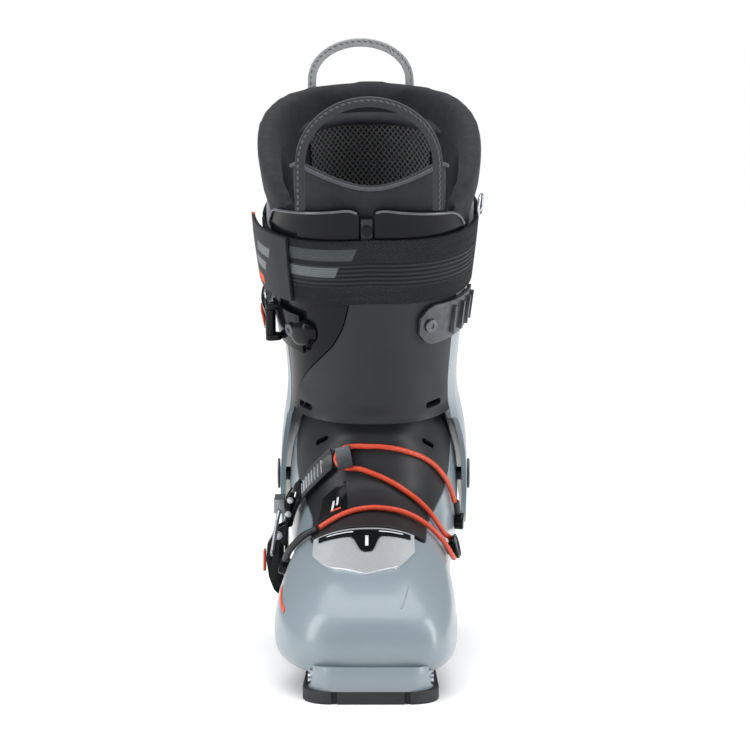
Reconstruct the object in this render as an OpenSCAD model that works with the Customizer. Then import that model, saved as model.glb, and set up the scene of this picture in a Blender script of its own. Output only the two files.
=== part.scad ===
// Ski touring boot, right foot. The toe points to -Y, the inner side of the foot is +X and +Z is up.
// The origin is the middle of the flat face under the heel.

/* [Sole] */
// Width of the rubber toe sole
sole_w = 75; // [70:1:78]
// Width of the moulded toe lip
lip_w = 69; // [64:1:72]
// Height of the rubber under the toe lip
rubber_h = 7; // [5:0.5:8]
// Foremost point of the toe lip, measured from the origin
toe_reach = 265; // [264:0.5:267]
// Rearmost point of the heel block, measured from the origin
heel_reach = 33; // [31:0.5:35]

/* [Shell and cuff] */
// Wall of the lower shell
shell_wall = 4; // [3.5:0.1:4.2]
// Wall of the cuff parts
cuff_wall = 3; // [2.5:0.1:3]
// Forward lean of the cuff when it is locked for skiing
lean = 14; // [13:0.5:15]
// Distance of the ankle pivot in front of the origin
pivot_y = 57; // [56:0.5:58]
// Height of the ankle pivot
pivot_z = 100; // [99:0.5:101]
// Radius of the ankle pivot bolts
pivot_r = 4; // [3.5:0.1:4.5]

/* [Liner] */
// Thickness of the padded liner
liner_wall = 6.5; // [5:0.5:7]

/* [Closures] */
// Diameter of the lace cable
cable_d = 3; // [2.6:0.1:3]
// Thickness of the power strap
strap_t = 2.2; // [1.8:0.1:2.4]
// Radius of the buckle pins
pin_r = 1.5; // [1.4:0.1:1.6]
// Running gap around every pin
pin_gap = 0.06; // [0.04:0.01:0.1]

/* [Hidden] */
$fn = 32;

// Lower shell, one row for each cross-section: bottom point [y, z], top point [y, z], half-width on
// the outer side, half-width on the inner side, share of the height at which it is widest, roundness
// below and roundness above that line.
shell_rows = [
    [[-262, 26], [-262, 33], 10, 16, 0.45, 2.4, 2.4],
    [[-260, 18], [-259, 45], 25, 31, 0.42, 2.6, 2.5],
    [[-253, 13], [-250, 55], 38, 40, 0.38, 2.9, 2.6],
    [[-240, 11], [-235, 63], 47, 45, 0.36, 3.1, 2.5],
    [[-218, 10], [-212, 71], 53, 48, 0.34, 3.2, 2.4],
    [[-190, 10], [-186, 81], 54, 48.5, 0.33, 3.2, 2.3],
    [[-160, 11], [-163, 90], 51, 47.5, 0.34, 3.2, 2.3],
    [[-128, 12], [-147, 97], 47, 46, 0.37, 3.2, 2.2],
    [[-95, 12], [-138, 104], 45.5, 46.5, 0.42, 3.0, 2.2],
    [[-60, 12], [-135, 112], 45.5, 47, 0.46, 2.8, 2.2],
    [[-22, 12], [-132, 121], 46.5, 49, 0.50, 2.6, 2.2],
    [[16, 16], [-128.5, 130], 48.5, 51, 0.54, 2.4, 2.2],
    [[28, 42], [-124.5, 139], 48.5, 51.5, 0.55, 2.3, 2.2],
    [[15, 68], [-120, 146], 47, 50.5, 0.54, 2.2, 2.2],
    [[3, 92], [-115, 152], 43.5, 47, 0.51, 2.2, 2.2],
    [[2, 120], [-109, 158], 40, 42.5, 0.50, 2.2, 2.2]];

// Cuff, one row for each height above the ankle pivot along the shin: height, reach to the front,
// reach to the back, outer half-width, inner half-width, roundness in front and behind.
cuff_rows = [
    [-30, 50, 57.5, 50.5, 53.5, 3.2, 2.6],
    [0, 58, 66, 51, 54, 3.4, 2.6],
    [30, 60, 66, 49.5, 53, 3.2, 2.4],
    [60, 61.8, 62, 46, 47.5, 2.5, 2.2],
    [90, 61, 60, 48, 49, 2.4, 2.2],
    [120, 62, 61, 53, 52.5, 2.4, 2.2],
    [150, 65, 64, 57, 56, 2.4, 2.3],
    [190, 68, 68, 60, 59, 2.4, 2.3],
    [225, 70, 66, 64, 60, 2.4, 2.4]];

pivot = [-pivot_y, pivot_z];
shin = [-sin(lean), cos(lean)];
ahead = [-cos(lean), -sin(lean)];
cable_r = cable_d / 2;
seam = 0.25;

function lerp(a, b, t) = a + (b - a) * t;
function unit(a) = a / norm(a);
function steps(a, b, n) = [for (i = [0:n]) lerp(a, b, i / n)];

// Catmull-Rom row of a table at the fractional row v
function blend1(a, b, c, d, f) =
    0.5 * (2 * b + (c - a) * f + (2 * a - 5 * b + 4 * c - d) * f * f + (3 * b - a - 3 * c + d) * f * f * f);
function row_at(t, v) =
    let (n = len(t) - 1, i = min(max(floor(v), 0), n - 1),
         a = t[max(0, i - 1)], b = t[i], c = t[i + 1], d = t[min(n, i + 2)])
    [for (k = [0:len(b) - 1]) blend1(a[k], b[k], c[k], d[k], v - i)];

// Point on a section: u = 0 is the top or front, 90 the inner side and 180 the bottom or back
function section(low, top, w_out, w_in, wide, n_low, n_top, u, inset) =
    let (high = norm(top - low), e = (top - low) / high, c = cos(u), s = sin(u),
        mid = low + (top - low) * wide,
         n = c > 0 ? n_top : n_low, a = (c > 0 ? high * (1 - wide) : high * wide) - inset,
         w = (s > 0 ? w_in : w_out) - inset, k = pow(pow(abs(c), n) + pow(abs(s), n), -1 / n))
    [w * s * k, mid[0] + e[0] * a * c * k, mid[1] + e[1] * a * c * k];
function shell_pt(v, u, inset = 0, lift = 0) =
    let (r = row_at(shell_rows, v))
    section(r[0] + [0, lift], r[1], r[2], r[3], r[4], r[5], r[6], u, inset);
function cuff_row(h) =
    let (last = len(cuff_rows) - 2, i = max(0,
        min(last, len([for (r = cuff_rows) if (r[0] <= h) 1]) - 1)))
    i + (h - cuff_rows[i][0]) / (cuff_rows[i + 1][0] - cuff_rows[i][0]);
function cuff_pt(h, u, inset = 0) =
    let (r = row_at(cuff_rows, cuff_row(h)), mid = pivot + h * shin)
    section(mid - ahead * r[2], mid + ahead * r[1], r[3], r[4], r[2] / (r[1] + r[2]), r[6], r[5], u,
        inset);

// Right-handed frame on a surface point: x along rising u, z outward
function frame(p, pu, pv) =
    let (x = unit(pu - p), z = unit(cross(x, pv - p)), y = cross(z, x))
    [[x[0], y[0], z[0], p[0]], [x[1], y[1], z[1], p[1]], [x[2], y[2], z[2], p[2]], [0, 0, 0, 1]];
module on_cuff(h, u, inset = 0) {
    multmatrix(frame(cuff_pt(h, u, inset), cuff_pt(h, u + 1, inset), cuff_pt(h + 1, u,
        inset))) children();
}
module on_shell(v, u, inset = 0) {
    multmatrix(frame(shell_pt(v, u, inset), shell_pt(v, u + 1, inset), shell_pt(v + 0.05, u,
        inset))) children();
}

// Polyhedron from faces whose corners run anticlockwise when they are seen from outside
module solid(points, faces) {
    polyhedron(points, [for (f = faces) [for (k = [len(f) - 1:-1:0]) f[k]]]);
}
// Closed solid between two grids of points. keep(i, j) says which cells are solid, around closes the
// columns into a ring, and cap closes the first row.
module skin(outer, inner, keep, around = false, cap = false) {
    nr = len(outer);
    nc = len(outer[0]);
    cells = around ? nc : nc - 1;
    o = function (i, j) i * nc + (j + nc) % nc;
    q = function (i, j) nr * nc + o(i, j);
    has = function (i, j) i >= 0 && i < nr - 1 && (around || (j >= 0 && j < cells)) && keep(i,
        (j + nc) % nc);
    faces = [
        for (i = [0:nr - 2]) for (j = [0:cells - 1]) if (has(i, j)) each [
            [o(i, j), o(i, j + 1), o(i + 1, j + 1)],
            [o(i, j), o(i + 1, j + 1), o(i + 1, j)],
            [q(i, j), q(i + 1, j + 1), q(i, j + 1)],
            [q(i, j), q(i + 1, j), q(i + 1, j + 1)],
            if (!has(i - 1, j) && !(cap && i == 0)) each
                [[o(i, j), q(i, j), q(i, j + 1)], [o(i, j), q(i, j + 1), o(i, j + 1)]],
            if (!has(i + 1, j)) each
                [[o(i + 1, j), q(i + 1, j + 1), q(i + 1, j)], [o(i + 1, j), o(i + 1, j + 1),
                    q(i + 1, j + 1)]],
            if (!has(i, j - 1)) each
                [[o(i, j), q(i + 1, j), q(i, j)], [o(i, j), o(i + 1, j), q(i + 1, j)]],
            if (!has(i, j + 1)) each
                [[o(i, j + 1), q(i, j + 1), q(i + 1, j + 1)], [o(i, j + 1), q(i + 1, j + 1),
                    o(i + 1, j + 1)]]],
        if (cap) [for (j = [nc - 1:-1:0]) o(0, j)],
        if (cap) [for (j = [0:nc - 1]) q(0, j)]];
    solid([for (r = outer) each r, for (r = inner) each r], faces);
}
whole = function (i, j) true;

// Patch of the cuff between the heights low(u) and high(u) and the edges left(h) and right(h)
module cuff_patch(low, high, left, right, out, in, rows = 10, cols = 16, keep = whole) {
    us = steps(0, 1, cols);
    at = function (s, t, inset)
        let (u0 = lerp(left(0), right(0), s), h = lerp(low(u0), high(u0), t)) cuff_pt(h,
            lerp(left(h), right(h), s), inset);
    skin([for (t = steps(0, 1, rows)) [for (s = us) at(s, t, out)]],
         [for (t = steps(0, 1, rows)) [for (s = us) at(s, t, in)]], keep);
}

// Round bar swept along points that lie close together
function tangent(p, i) = unit(p[min(len(p) - 1, i + 1)] - p[max(0, i - 1)]);
function carried(p, i) =
    i == 0 ? unit(cross(tangent(p, 0), [0.3, 0.2, 1]))
           : let (t = tangent(p, i), q = carried(p, i - 1)) unit(q - t * (q * t));
module sweep(p, r, sides = 8) {
    n = len(p);
    rings = [for (i = [0:n - 1]) let (t = tangent(p, i), a = carried(p, i), b = cross(t, a))
        [for (k = [0:sides - 1]) p[i] + r * (a * cos(k * 360 / sides) + b * sin(k * 360 / sides))]];
    faces = [
        [for (k = [sides - 1:-1:0]) k],
        [for (k = [0:sides - 1]) (n - 1) * sides + k],
        for (i = [0:n - 2]) for (k = [0:sides - 1]) let (a = i * sides + k,
            b = i * sides + (k + 1) % sides)
            each [[a, b, b + sides], [a, b + sides, a + sides]]];
    solid([for (r = rings) each r], faces);
}
function curve(p, per) =
    [for (i = [0:len(p) - 2]) each [for (k = [0:per - 1])
        let (a = p[max(0, i - 1)], b = p[i], c = p[i + 1], d = p[min(len(p) - 1, i + 2)]) blend1(a,
            b, c, d, k / per)],
     p[len(p) - 1]];

// ---- Lower shell and sole ----

tongue_from = 5.3;
function tongue_half(v) = lookup(v, [[5.3, 38], [6, 40], [7, 44], [8, 49], [9, 54], [10, 58],
    [12, 62], [15, 70]]);
shell_v = [0, 0.4, 0.8, 1.2, 1.7, 2.3, 3, 4, 4.8, 5.3, 6, 7, 8, 9, 10, 11, 11.5, 12, 12.5, 13, 14, 15];
shell_cols = 36;
open_cols = 4;
// Angle of column j at the row v: the first and last columns follow the edge of the tongue opening
function shell_u(v, j) =
    let (a = v < tongue_from ? lerp(30, 38, v / tongue_from) : tongue_half(v), back = shell_cols - j)
    j <= open_cols ? a * j / open_cols
        : back <= open_cols ? 360 - a * back / open_cols
        : lerp(a, 360 - a, (j - open_cols) / (shell_cols - 2 * open_cols));
function shell_grid(vs, inset, start = 0, lift = function (v) 0) =
    [for (v = vs) [for (j = [0:shell_cols - 1]) let (w = max(v, start + v * 0.3)) shell_pt(w,
        shell_u(v, j), inset, lift(w))]];

lip_z = 17;
ridge_z = 20;
module lip_outline(w, front, back) {
    intersection() {
        hull() for (x = [-1, 1]) translate([x * (w / 2 - 16), -front + 20]) {
            scale([0.8, 1]) circle(20);
            translate([-x * 3 + x * 15, 20]) circle(1);
        }
        translate([-w / 2, -front]) square([w, front - back]);
    }
}
module lip_solid(grow = 0) {
    difference() {
        translate([0, 0, rubber_h]) linear_extrude(ridge_z - rubber_h + grow)
            lip_outline(lip_w + 2 * grow, toe_reach, 243 - grow);
        translate([-50, -256 + grow, lip_z + grow]) cube([100, 30, 10]);
    }
}
module across(y, z, r, from, to) {
    translate([from, y, z]) rotate([0, 90, 0]) cylinder(r = r, h = to - from);
}
module lower_shell() {
    color("lightsteelblue") difference() {
        skin(shell_grid(shell_v, 0), shell_grid(shell_v, shell_wall, 1.4),
            function (i, j) !(shell_v[i] >= tongue_from && (j < open_cols || j >= shell_cols - open_cols)), true, true);
        across(-pivot_y, pivot_z, pivot_r, -60, 60);
        lip_solid(0.1);
    }
}

insert_y = -250;
insert_z = 12;
insert_r = 3.5;
module toe_lip() {
    color("lightsteelblue") difference() {
        lip_solid();
        for (s = [-1, 1]) across(insert_y, insert_z, insert_r, s > 0 ? lip_w / 2 - 7
            : -lip_w / 2 - 1, s > 0 ? lip_w / 2 + 1 : 7 - lip_w / 2);
    }
}
module toe_inserts() {
    color("silver") for (s = [-1, 1]) difference() {
        across(insert_y, insert_z, insert_r, s > 0 ? lip_w / 2 - 7 : -lip_w / 2, s > 0 ? lip_w / 2
            : 7 - lip_w / 2);
        across(insert_y, insert_z, 2.4, s > 0 ? lip_w / 2 - 4 : -lip_w / 2 - 1, s > 0
            ? lip_w / 2 + 1 : 4 - lip_w / 2);
    }
}

groove = 2;
module sole_pad(height, y_front, y_back, pitch) {
    difference() {
        linear_extrude(height) children();
        for (y = [y_front + pitch:pitch:y_back - pitch])
            for (s = [-1, 1]) translate([s * sole_w / 2, y, 0]) cube([sole_w * 0.62, 3, groove * 2],
                center = true);
    }
}
module toe_sole() {
    color([0.1, 0.1, 0.11]) sole_pad(rubber_h, -248, -150, 14) difference() {
        hull() {
            lip_outline(sole_w, toe_reach + 0.5, 200);
            translate([-sole_w / 2 + 2, -150]) square([sole_w - 4, 1]);
        }
        for (s = [-1, 1]) translate([s * 20, -toe_reach - 1]) square([3, 5], center = true);
    }
    color([0.1, 0.1, 0.11]) translate([0, 0, rubber_h]) linear_extrude(2.8) translate([-32,
        -242.5]) square([64, 92]);
}
module heel_outline(w, back, front) {
    hull() {
        for (s = [-1, 1]) {
            translate([s * (w / 2 - 14), back - 14]) circle(14);
            translate([s * (w / 2 - 3), front + 3]) circle(3);
        }
    }
}
module heel_sole() {
    color([0.1, 0.1, 0.11]) sole_pad(10, -32, 28, 13) heel_outline(68, heel_reach - 0.5,
        -heel_reach + 0.5);
}
// Solid body of the shell's rear, used to fit the heel block to it
module shell_core() {
    rows = shell_grid([10, 11, 11.5, 12, 12.5, 13], -0.3);
    n = shell_cols;
    faces = [[for (j = [n - 1:-1:0]) j], [for (j = [0:n - 1]) (len(rows) - 1) * n + j],
        for (i = [0:len(rows) - 2]) for (j = [0:n - 1]) let (a = i * n + j, b = i * n + (j + 1) % n)
            each [[a, b, b + n], [a, b + n, a + n]]];
    solid([for (r = rows) each r], faces);
}
plate_w = 26;
module heel_block() {
    color("lightsteelblue") difference() {
        translate([0, 0, 10 + seam]) linear_extrude(20) difference() {
            heel_outline(62, heel_reach, -5);
            translate([-40, -20]) square([80, 33]);
        }
        shell_core();
        translate([-plate_w / 2 - seam, heel_reach - 2.2, 0]) cube([plate_w + 2 * seam, 5, 29]);
    }
}
module heel_insert() {
    color("silver") translate([0, heel_reach, 11]) rotate([90, 0, 0]) difference() {
        linear_extrude(2) difference() {
            translate([-plate_w / 2, 0]) square([plate_w, 17.5]);
            for (s = [-1, 1]) hull() {
                translate([s * 5, -2]) circle(2);
                translate([s * 5, 7]) circle(2);
            }
        }
        for (s = [-1, 1]) translate([s * 8.5, 13, -1]) cylinder(r = 1.7, h = 4);
    }
}
module heel_insert_screws() {
    color("dimgray") for (s = [-1, 1]) translate([s * 8.5, heel_reach, 24]) rotate([90, 0, 0]) {
        cylinder(r = 1.65, h = 2);
        translate([0, 0, -1.2]) cylinder(r = 2.8, h = 1.2);
    }
}

// ---- Inside ----

board_lift = function (v) lookup(v, [[1, 0], [3, 5], [10, 5], [12, 0]]);
liner_gap = 1.2;
liner_v = [2, 2.3, 3, 4, 5, 6, 7, 8, 9, 10, 11, 12, 13, 14, 14.7];
module liner_foot() {
    out = shell_wall + liner_gap;
    color([0.25, 0.25, 0.26]) skin(shell_grid(liner_v, out, 0, board_lift),
        [for (v = liner_v) [for (j = [0:shell_cols - 1])
            shell_pt(max(v, 2.35 + (v - 2) * 0.3), shell_u(v, j), out + liner_wall, board_lift(v))]],
        whole, true, true);
}
// Flat piece that follows the floor of the boot between two insets
module floor_piece(vs, half, out, in, lift, cols = 8) {
    us = steps(180 - half, 180 + half, cols);
    skin([for (v = vs) [for (u = us) shell_pt(v, u, out, lift(v))]],
         [for (v = vs) [for (u = us) shell_pt(v, u, in, lift(v))]], whole);
}
module boot_board() {
    color("gray") floor_piece([3, 4, 4.8, 5.3, 6, 7, 8, 9, 10], 38, shell_wall + 0.4,
        shell_wall + 4.6, function (v) 0);
}
module footbed() {
    out = shell_wall + liner_gap + liner_wall + 1.2;
    color("slategray") floor_piece([3, 4, 5, 6, 7, 8, 9, 10], 34, out, out + 2.5, board_lift);
}

// ---- Tongue and instep ----

tongue_v = [5.36, 5.6, 6, 6.5, 7, 8, 9, 10, 11, 12, 13, 14, 14.8];
module tongue() {
    cols = steps(-1, 1, 18);
    color([0.27, 0.28, 0.29]) skin(
        [for (v = tongue_v) [for (s = cols) shell_pt(v, s * (tongue_half(v) - 1.3), -0.6)]],
        [for (v = tongue_v) [for (s = cols) shell_pt(v, s * (tongue_half(v) - 1.3), 2.6)]], whole);
}
plate_low = function (u) lookup(u, [[-34, 4.5], [-26, 3.75], [-3, 3.2], [18, 3.65], [28, 4.5]]);
module instep_plate() {
    us = steps(-34, 28, 20);
    color("silver") skin(
        [for (t = steps(0, 1, 8)) [for (u = us) shell_pt(lerp(plate_low(u), 5.22, t), u, -2.2)]],
        [for (t = steps(0, 1, 8)) [for (u = us) shell_pt(lerp(plate_low(u), 5.22, t), u, -seam)]],
            whole);
}
badge_low = function (u) lookup(u, [[-30, 4.75], [-14, 4.55], [-10, 4.0], [4, 4.0], [8, 4.55],
    [25, 4.75]]);
module instep_badge() {
    us = steps(-30, 25, 22);
    color([0.08, 0.08, 0.09]) skin(
        [for (t = steps(0, 1, 6)) [for (u = us) shell_pt(lerp(badge_low(u), 5.08, t), u, -3.2)]],
        [for (t = steps(0, 1, 6)) [for (u = us) shell_pt(lerp(badge_low(u), 5.08, t), u, -2.4)]],
            whole);
}

// ---- Ankle pivot and walk lock ----

bolt_head = 1.4;
module pivot_bolts() {
    color("dimgray") for (s = [-1, 1]) {
        inner = s > 0 ? 47.8 : 45.2;
        outer = s > 0 ? 57.3 : 54.3;
        across(-pivot_y, pivot_z, pivot_r - pin_gap / 2, s > 0 ? inner : -outer, s > 0 ? outer
            : -inner);
        across(-pivot_y, pivot_z, 9, s > 0 ? outer : -outer - bolt_head, s > 0 ? outer + bolt_head
            : -outer);
    }
}

// ---- Cuff ----

outer_skin = -cuff_wall;
front_right = 56;
panel_low = 56;
panel_high = 137;
flap_edge = function (h) lookup(h, [[56, -54], [70, -54], [82, -44], [102, -23], [114, -16],
    [129, -12], [137, -11]]);
rear_low = function (u) lookup(u, [[57, 50], [66, 46], [73, -10], [84, -30], [97, -28], [125, -8],
    [150, 4],
    [180, 7], [210, 4], [235, -8], [263, -28], [276, -30], [284, -10], [289, 46], [293, 50]]);
rear_high = function (u) lookup(u, [[57, 137], [75, 150], [95, 165], [140, 190], [180, 194], [220, 190],
    [265, 165], [285, 150], [293, 137]]);
catch_w = 7;
module cuff_rear() {
    color("lightsteelblue") difference() {
        cuff_patch(rear_low, rear_high, function (h) 57, function (h) 293, outer_skin, 0, 14, 36);
        across(-pivot_y, pivot_z, pivot_r + pin_gap / 2, -70, 70);
        translate([-catch_w - 2, -20, 100]) cube([2 * catch_w + 4, 50, 48]);
    }
}
rivet = [174.5, -2.2];
tab_left = -5.2;
tab_right = 0.8;
panel_h = [56, 62, 70, 76, 82, 92, 102, 108, 114, 122, 129, 137, 151, 166, 181];
function panel_u(h) = [each steps(flap_edge(h), tab_left, 7), each steps(tab_right, front_right, 9)];
module vent(w, h) {
    hull() for (s = [-1, 1]) translate([s * (w - h) / 2, 0, -8]) cylinder(d = h, h = 16);
}
module cuff_front() {
    color([0.3, 0.3, 0.31]) difference() {
        skin([for (h = panel_h) [for (u = panel_u(h)) cuff_pt(h, u, outer_skin)]],
             [for (h = panel_h) [for (u = panel_u(h)) cuff_pt(h, u, 0)]],
             function (i, j) panel_h[i] < panel_high || j == 7);
        on_cuff(61, -46) vent(13, 4);
        on_cuff(63.5, 42) vent(13, 4);
        on_cuff(rivet[0], rivet[1]) cylinder(r = 1.5, h = 12, center = true);
    }
}
module cuff_flap() {
    color([0.08, 0.08, 0.09]) cuff_patch(function (u) panel_low, function (u) panel_high,
        function (h) -66.4,
        function (h) flap_edge(h) - 0.8, outer_skin, 0, 12, 8);
}
wing_low = function (u) 140;
module left_wing() {
    color([0.06, 0.06, 0.07]) cuff_patch(wing_low, function (u) lookup(u, [[-65, 166], [-56, 179],
        [-6, 187]]),
        function (h) -65, function (h) -6.2, outer_skin, 0, 5, 10);
}
module right_wing() {
    color([0.06, 0.06, 0.07]) cuff_patch(wing_low, function (u) lookup(u, [[1, 187], [44, 180],
        [56, 168]]),
        function (h) 1.8, function (h) 56, outer_skin, 0, 5, 10);
}
module wing_rivet() {
    color("silver") on_cuff(rivet[0], rivet[1]) {
        cylinder(r = 1.47, h = cuff_wall + 0.4);
        translate([0, 0, cuff_wall + 0.4]) cylinder(r = 3, h = 1.2);
    }
}
strap_low = function (u) lookup(u, [[0, 130], [90, 127], [180, 130], [270, 122], [360, 130]]);
strap_w = 39;
strap_in = outer_skin - 0.4;
module power_strap() {
    us = [for (j = [0:35]) j * 10];
    color([0.13, 0.14, 0.15]) skin(
        [for (t = steps(0, 1, 4)) [for (u = us) cuff_pt(strap_low(u) + t * strap_w, u,
            strap_in - strap_t)]],
        [for (t = steps(0, 1, 4)) [for (u = us) cuff_pt(strap_low(u) + t * strap_w, u, strap_in)]],
            whole, true);
}
module strap_tab() {
    rise = function (s) strap_in - strap_t - 0.3 - 4 * s * s;
    low = function (u) strap_low(360 + u) + 0.5;
    ss = steps(0, 1, 8);
    color([0.16, 0.17, 0.18]) skin(
        [for (t = steps(0, 1, 4)) [for (s = ss) let (u = lerp(-94, -44,
            s)) cuff_pt(low(u) + t * strap_w, u, rise(1 - s) - strap_t)]],
        [for (t = steps(0, 1, 4)) [for (s = ss) let (u = lerp(-94, -44,
            s)) cuff_pt(low(u) + t * strap_w, u, rise(1 - s))]], whole);
}
module strap_ring() {
    color("dimgray") on_cuff(177, 68, -7.2) rotate_extrude() translate([5.4, 0]) circle(1);
}

rack_low = function (u) lookup(u, [[28, 109], [31, 104.5], [36, 102], [78, 103]]);
rack_high = function (u) lookup(u, [[28, 119], [31, 123.5], [36, 126], [78, 124]]);
fitting_in = outer_skin - 0.8;
fitting_out = fitting_in - 2.3;
rack_screw = [114, 34];
buckle_screw = [107, -50];
screw_r = 2.1;
module ladder_rack() {
    color([0.35, 0.35, 0.36]) difference() {
        union() {
            cuff_patch(rack_low, rack_high, function (h) 28, function (h) 78, fitting_out,
                fitting_in, 5, 12);
            for (u = [50:8:74]) on_cuff(113.7, u, fitting_out) cube([2, 17, 4.4], center = true);
        }
        on_cuff(rack_screw[0], rack_screw[1], fitting_out) cylinder(r = screw_r + 0.05, h = 10,
            center = true);
    }
}
module cuff_screws() {
    color("silver") for (s = [rack_screw, buckle_screw]) on_cuff(s[0], s[1], fitting_out) difference() {
        union() {
            translate([0, 0, -2.2]) cylinder(r = screw_r, h = 2.4);
            translate([0, 0, 0.2]) cylinder(r = 4, h = 1.6);
        }
        translate([0, 0, 1]) cylinder(r = 1.4, h = 2);
    }
}

// ---- Upper buckle ----

// Axis parallel to the shin through a point of the cuff
module along_shin(p) {
    translate(p) rotate([lean, 0, 0]) children();
}
buckle_h = 106.5;
upper_hinge = cuff_pt(buckle_h, -66, fitting_out - 4.8);
bail_hinge = cuff_pt(buckle_h, -82, fitting_out - 4.6);
wire_r = 1.2;
ear = [7.8, 11];
module ears(r) {
    for (s = [-1, 1]) translate([0, 0, s > 0 ? ear[0] : -ear[1]]) cylinder(r = r, h = ear[1] - ear[0]);
}
module upper_buckle_base() {
    color([0.08, 0.08, 0.09]) difference() {
        union() {
            cuff_patch(function (u) 95, function (u) 118, function (h) -72, function (h) -42,
                fitting_out, fitting_in, 4, 8);
            along_shin(upper_hinge) for (s = [-1, 1]) hull() {
                translate([0, 0, s > 0 ? ear[0] : -ear[1]]) cylinder(r = 2.9, h = ear[1] - ear[0]);
                translate([3, 1.2, s > 0 ? ear[0] : -ear[1]]) cylinder(r = 3.4, h = ear[1] - ear[0]);
            }
        }
        along_shin(upper_hinge) cylinder(r = pin_r, h = 40, center = true);
        on_cuff(buckle_screw[0], buckle_screw[1], fitting_out) cylinder(r = screw_r + 0.05, h = 10,
            center = true);
    }
}
module upper_buckle_pin() {
    color("silver") along_shin(upper_hinge) cylinder(r = pin_r, h = 2 * ear[1], center = true);
}
lever_out = fitting_out - 6.4;
lever_in = fitting_out - 3;
module upper_lever() {
    color([0.09, 0.09, 0.1]) difference() {
        union() {
            cuff_patch(function (u) lookup(u, [[-122, 101.5], [-112, 99.5], [-69, 99.5]]),
                function (u) lookup(u, [[-122, 111], [-112, 113.5], [-69, 113.5]]),
                function (h) -122, function (h) -69, lever_out, lever_in, 4, 14);
            along_shin(upper_hinge) cylinder(r = 3, h = 15, center = true);
        }
        along_shin(upper_hinge) cylinder(r = pin_r + pin_gap, h = 40, center = true);
        along_shin(bail_hinge) cylinder(r = wire_r + pin_gap, h = 40, center = true);
    }
}
module upper_lever_clip() {
    color([0.8, 0.2, 0.13]) cuff_patch(function (u) 101, function (u) 107.5, function (h) -90,
        function (h) -73,
        lever_out - 1.6, lever_out - 0.15, 2, 6);
}
bail_side = 10.3;
module upper_bail() {
    along = [for (u = [-90:-8:-130]) u];
    high = [for (u = along) cuff_pt(buckle_h, u, fitting_out - 4.6) + bail_side * [0, shin[0],
        shin[1]]];
    low = [for (i = [len(high) - 1:-1:0]) high[i] - 2 * bail_side * [0, shin[0], shin[1]]];
    up = function (d) bail_hinge + d * [0, shin[0], shin[1]];
    color("silver") sweep([up(5.6), up(7.6), up(9.6), up(bail_side) + [-0.7, 0.8, 0], each high,
        (high[len(high) - 1] + low[0]) / 2, each low, up(-bail_side) + [-0.7, 0.8, 0], up(-9.6),
            up(-7.6), up(-5.6)], wire_r);
}

// ---- Liner of the cuff ----

collar_from = function (u) lookup(u, [[50, 187], [56, 181], [66, 172], [75, 167], [95, 168],
    [140, 191], [180, 195],
    [220, 191], [265, 168], [285, 167], [294, 172], [304, 182], [310, 187]]);
collar = function (h, u) lookup(h - collar_from(u), [[-100, 0.8], [1, 0.8], [14, -3], [40, -4.2]]);
liner_low = function (u) lookup(u, [[50, 78], [90, 70], [120, 44], [150, 39], [180, 38], [210, 39],
    [240, 44], [270, 70], [310, 78]]);
liner_high = function (u) lookup(u, [[50, 182], [62, 194], [90, 210], [130, 222], [180, 225],
    [230, 222],
    [270, 210], [298, 194], [310, 182]]);
module liner_cuff() {
    us = steps(50, 310, 32);
    ts = steps(0, 1, 14);
    color([0.28, 0.28, 0.29]) skin(
        [for (t = ts) [for (u = us) let (h = lerp(liner_low(u), liner_high(u), t)) cuff_pt(h, u,
            collar(h, u))]],
        [for (t = ts) [for (u = us) let (h = lerp(liner_low(u), liner_high(u), t)) cuff_pt(h, u,
            0.8 + liner_wall)]], whole);
}
module liner_tongue() {
    color([0.33, 0.33, 0.34]) cuff_patch(function (u) 68,
        function (u) lookup(u, [[-47, 211], [-25, 205], [0, 199], [25, 205], [47, 211]]),
        function (h) -47, function (h) 47, 1, 1 + liner_wall, 12, 12);
}
module arch(w, rise, leg, band, thick) {
    linear_extrude(thick, center = true) {
        difference() {
            scale([1, rise / (w / 2)]) circle(w / 2, $fn = 48);
            scale([1, (rise - band) / (w / 2 - band)]) circle(w / 2 - band, $fn = 48);
            translate([-w, -w]) square([2 * w, w]);
        }
        for (s = [-1, 1]) translate([s > 0 ? w / 2 - band : -w / 2, -leg]) square([band, leg]);
    }
}
module front_loop() {
    color([0.15, 0.15, 0.16]) along_shin(cuff_pt(215, -1, -2)) rotate([90, 0, 0]) arch(80, 36, 27, 8,
        2.6);
}
module rear_loop() {
    color("darkgray") along_shin(cuff_pt(224, 185, -6.6)) rotate([90, 0, 0]) arch(63, 25, 14, 6, 2.4);
}

// ---- Cable and lower buckle ----

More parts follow.
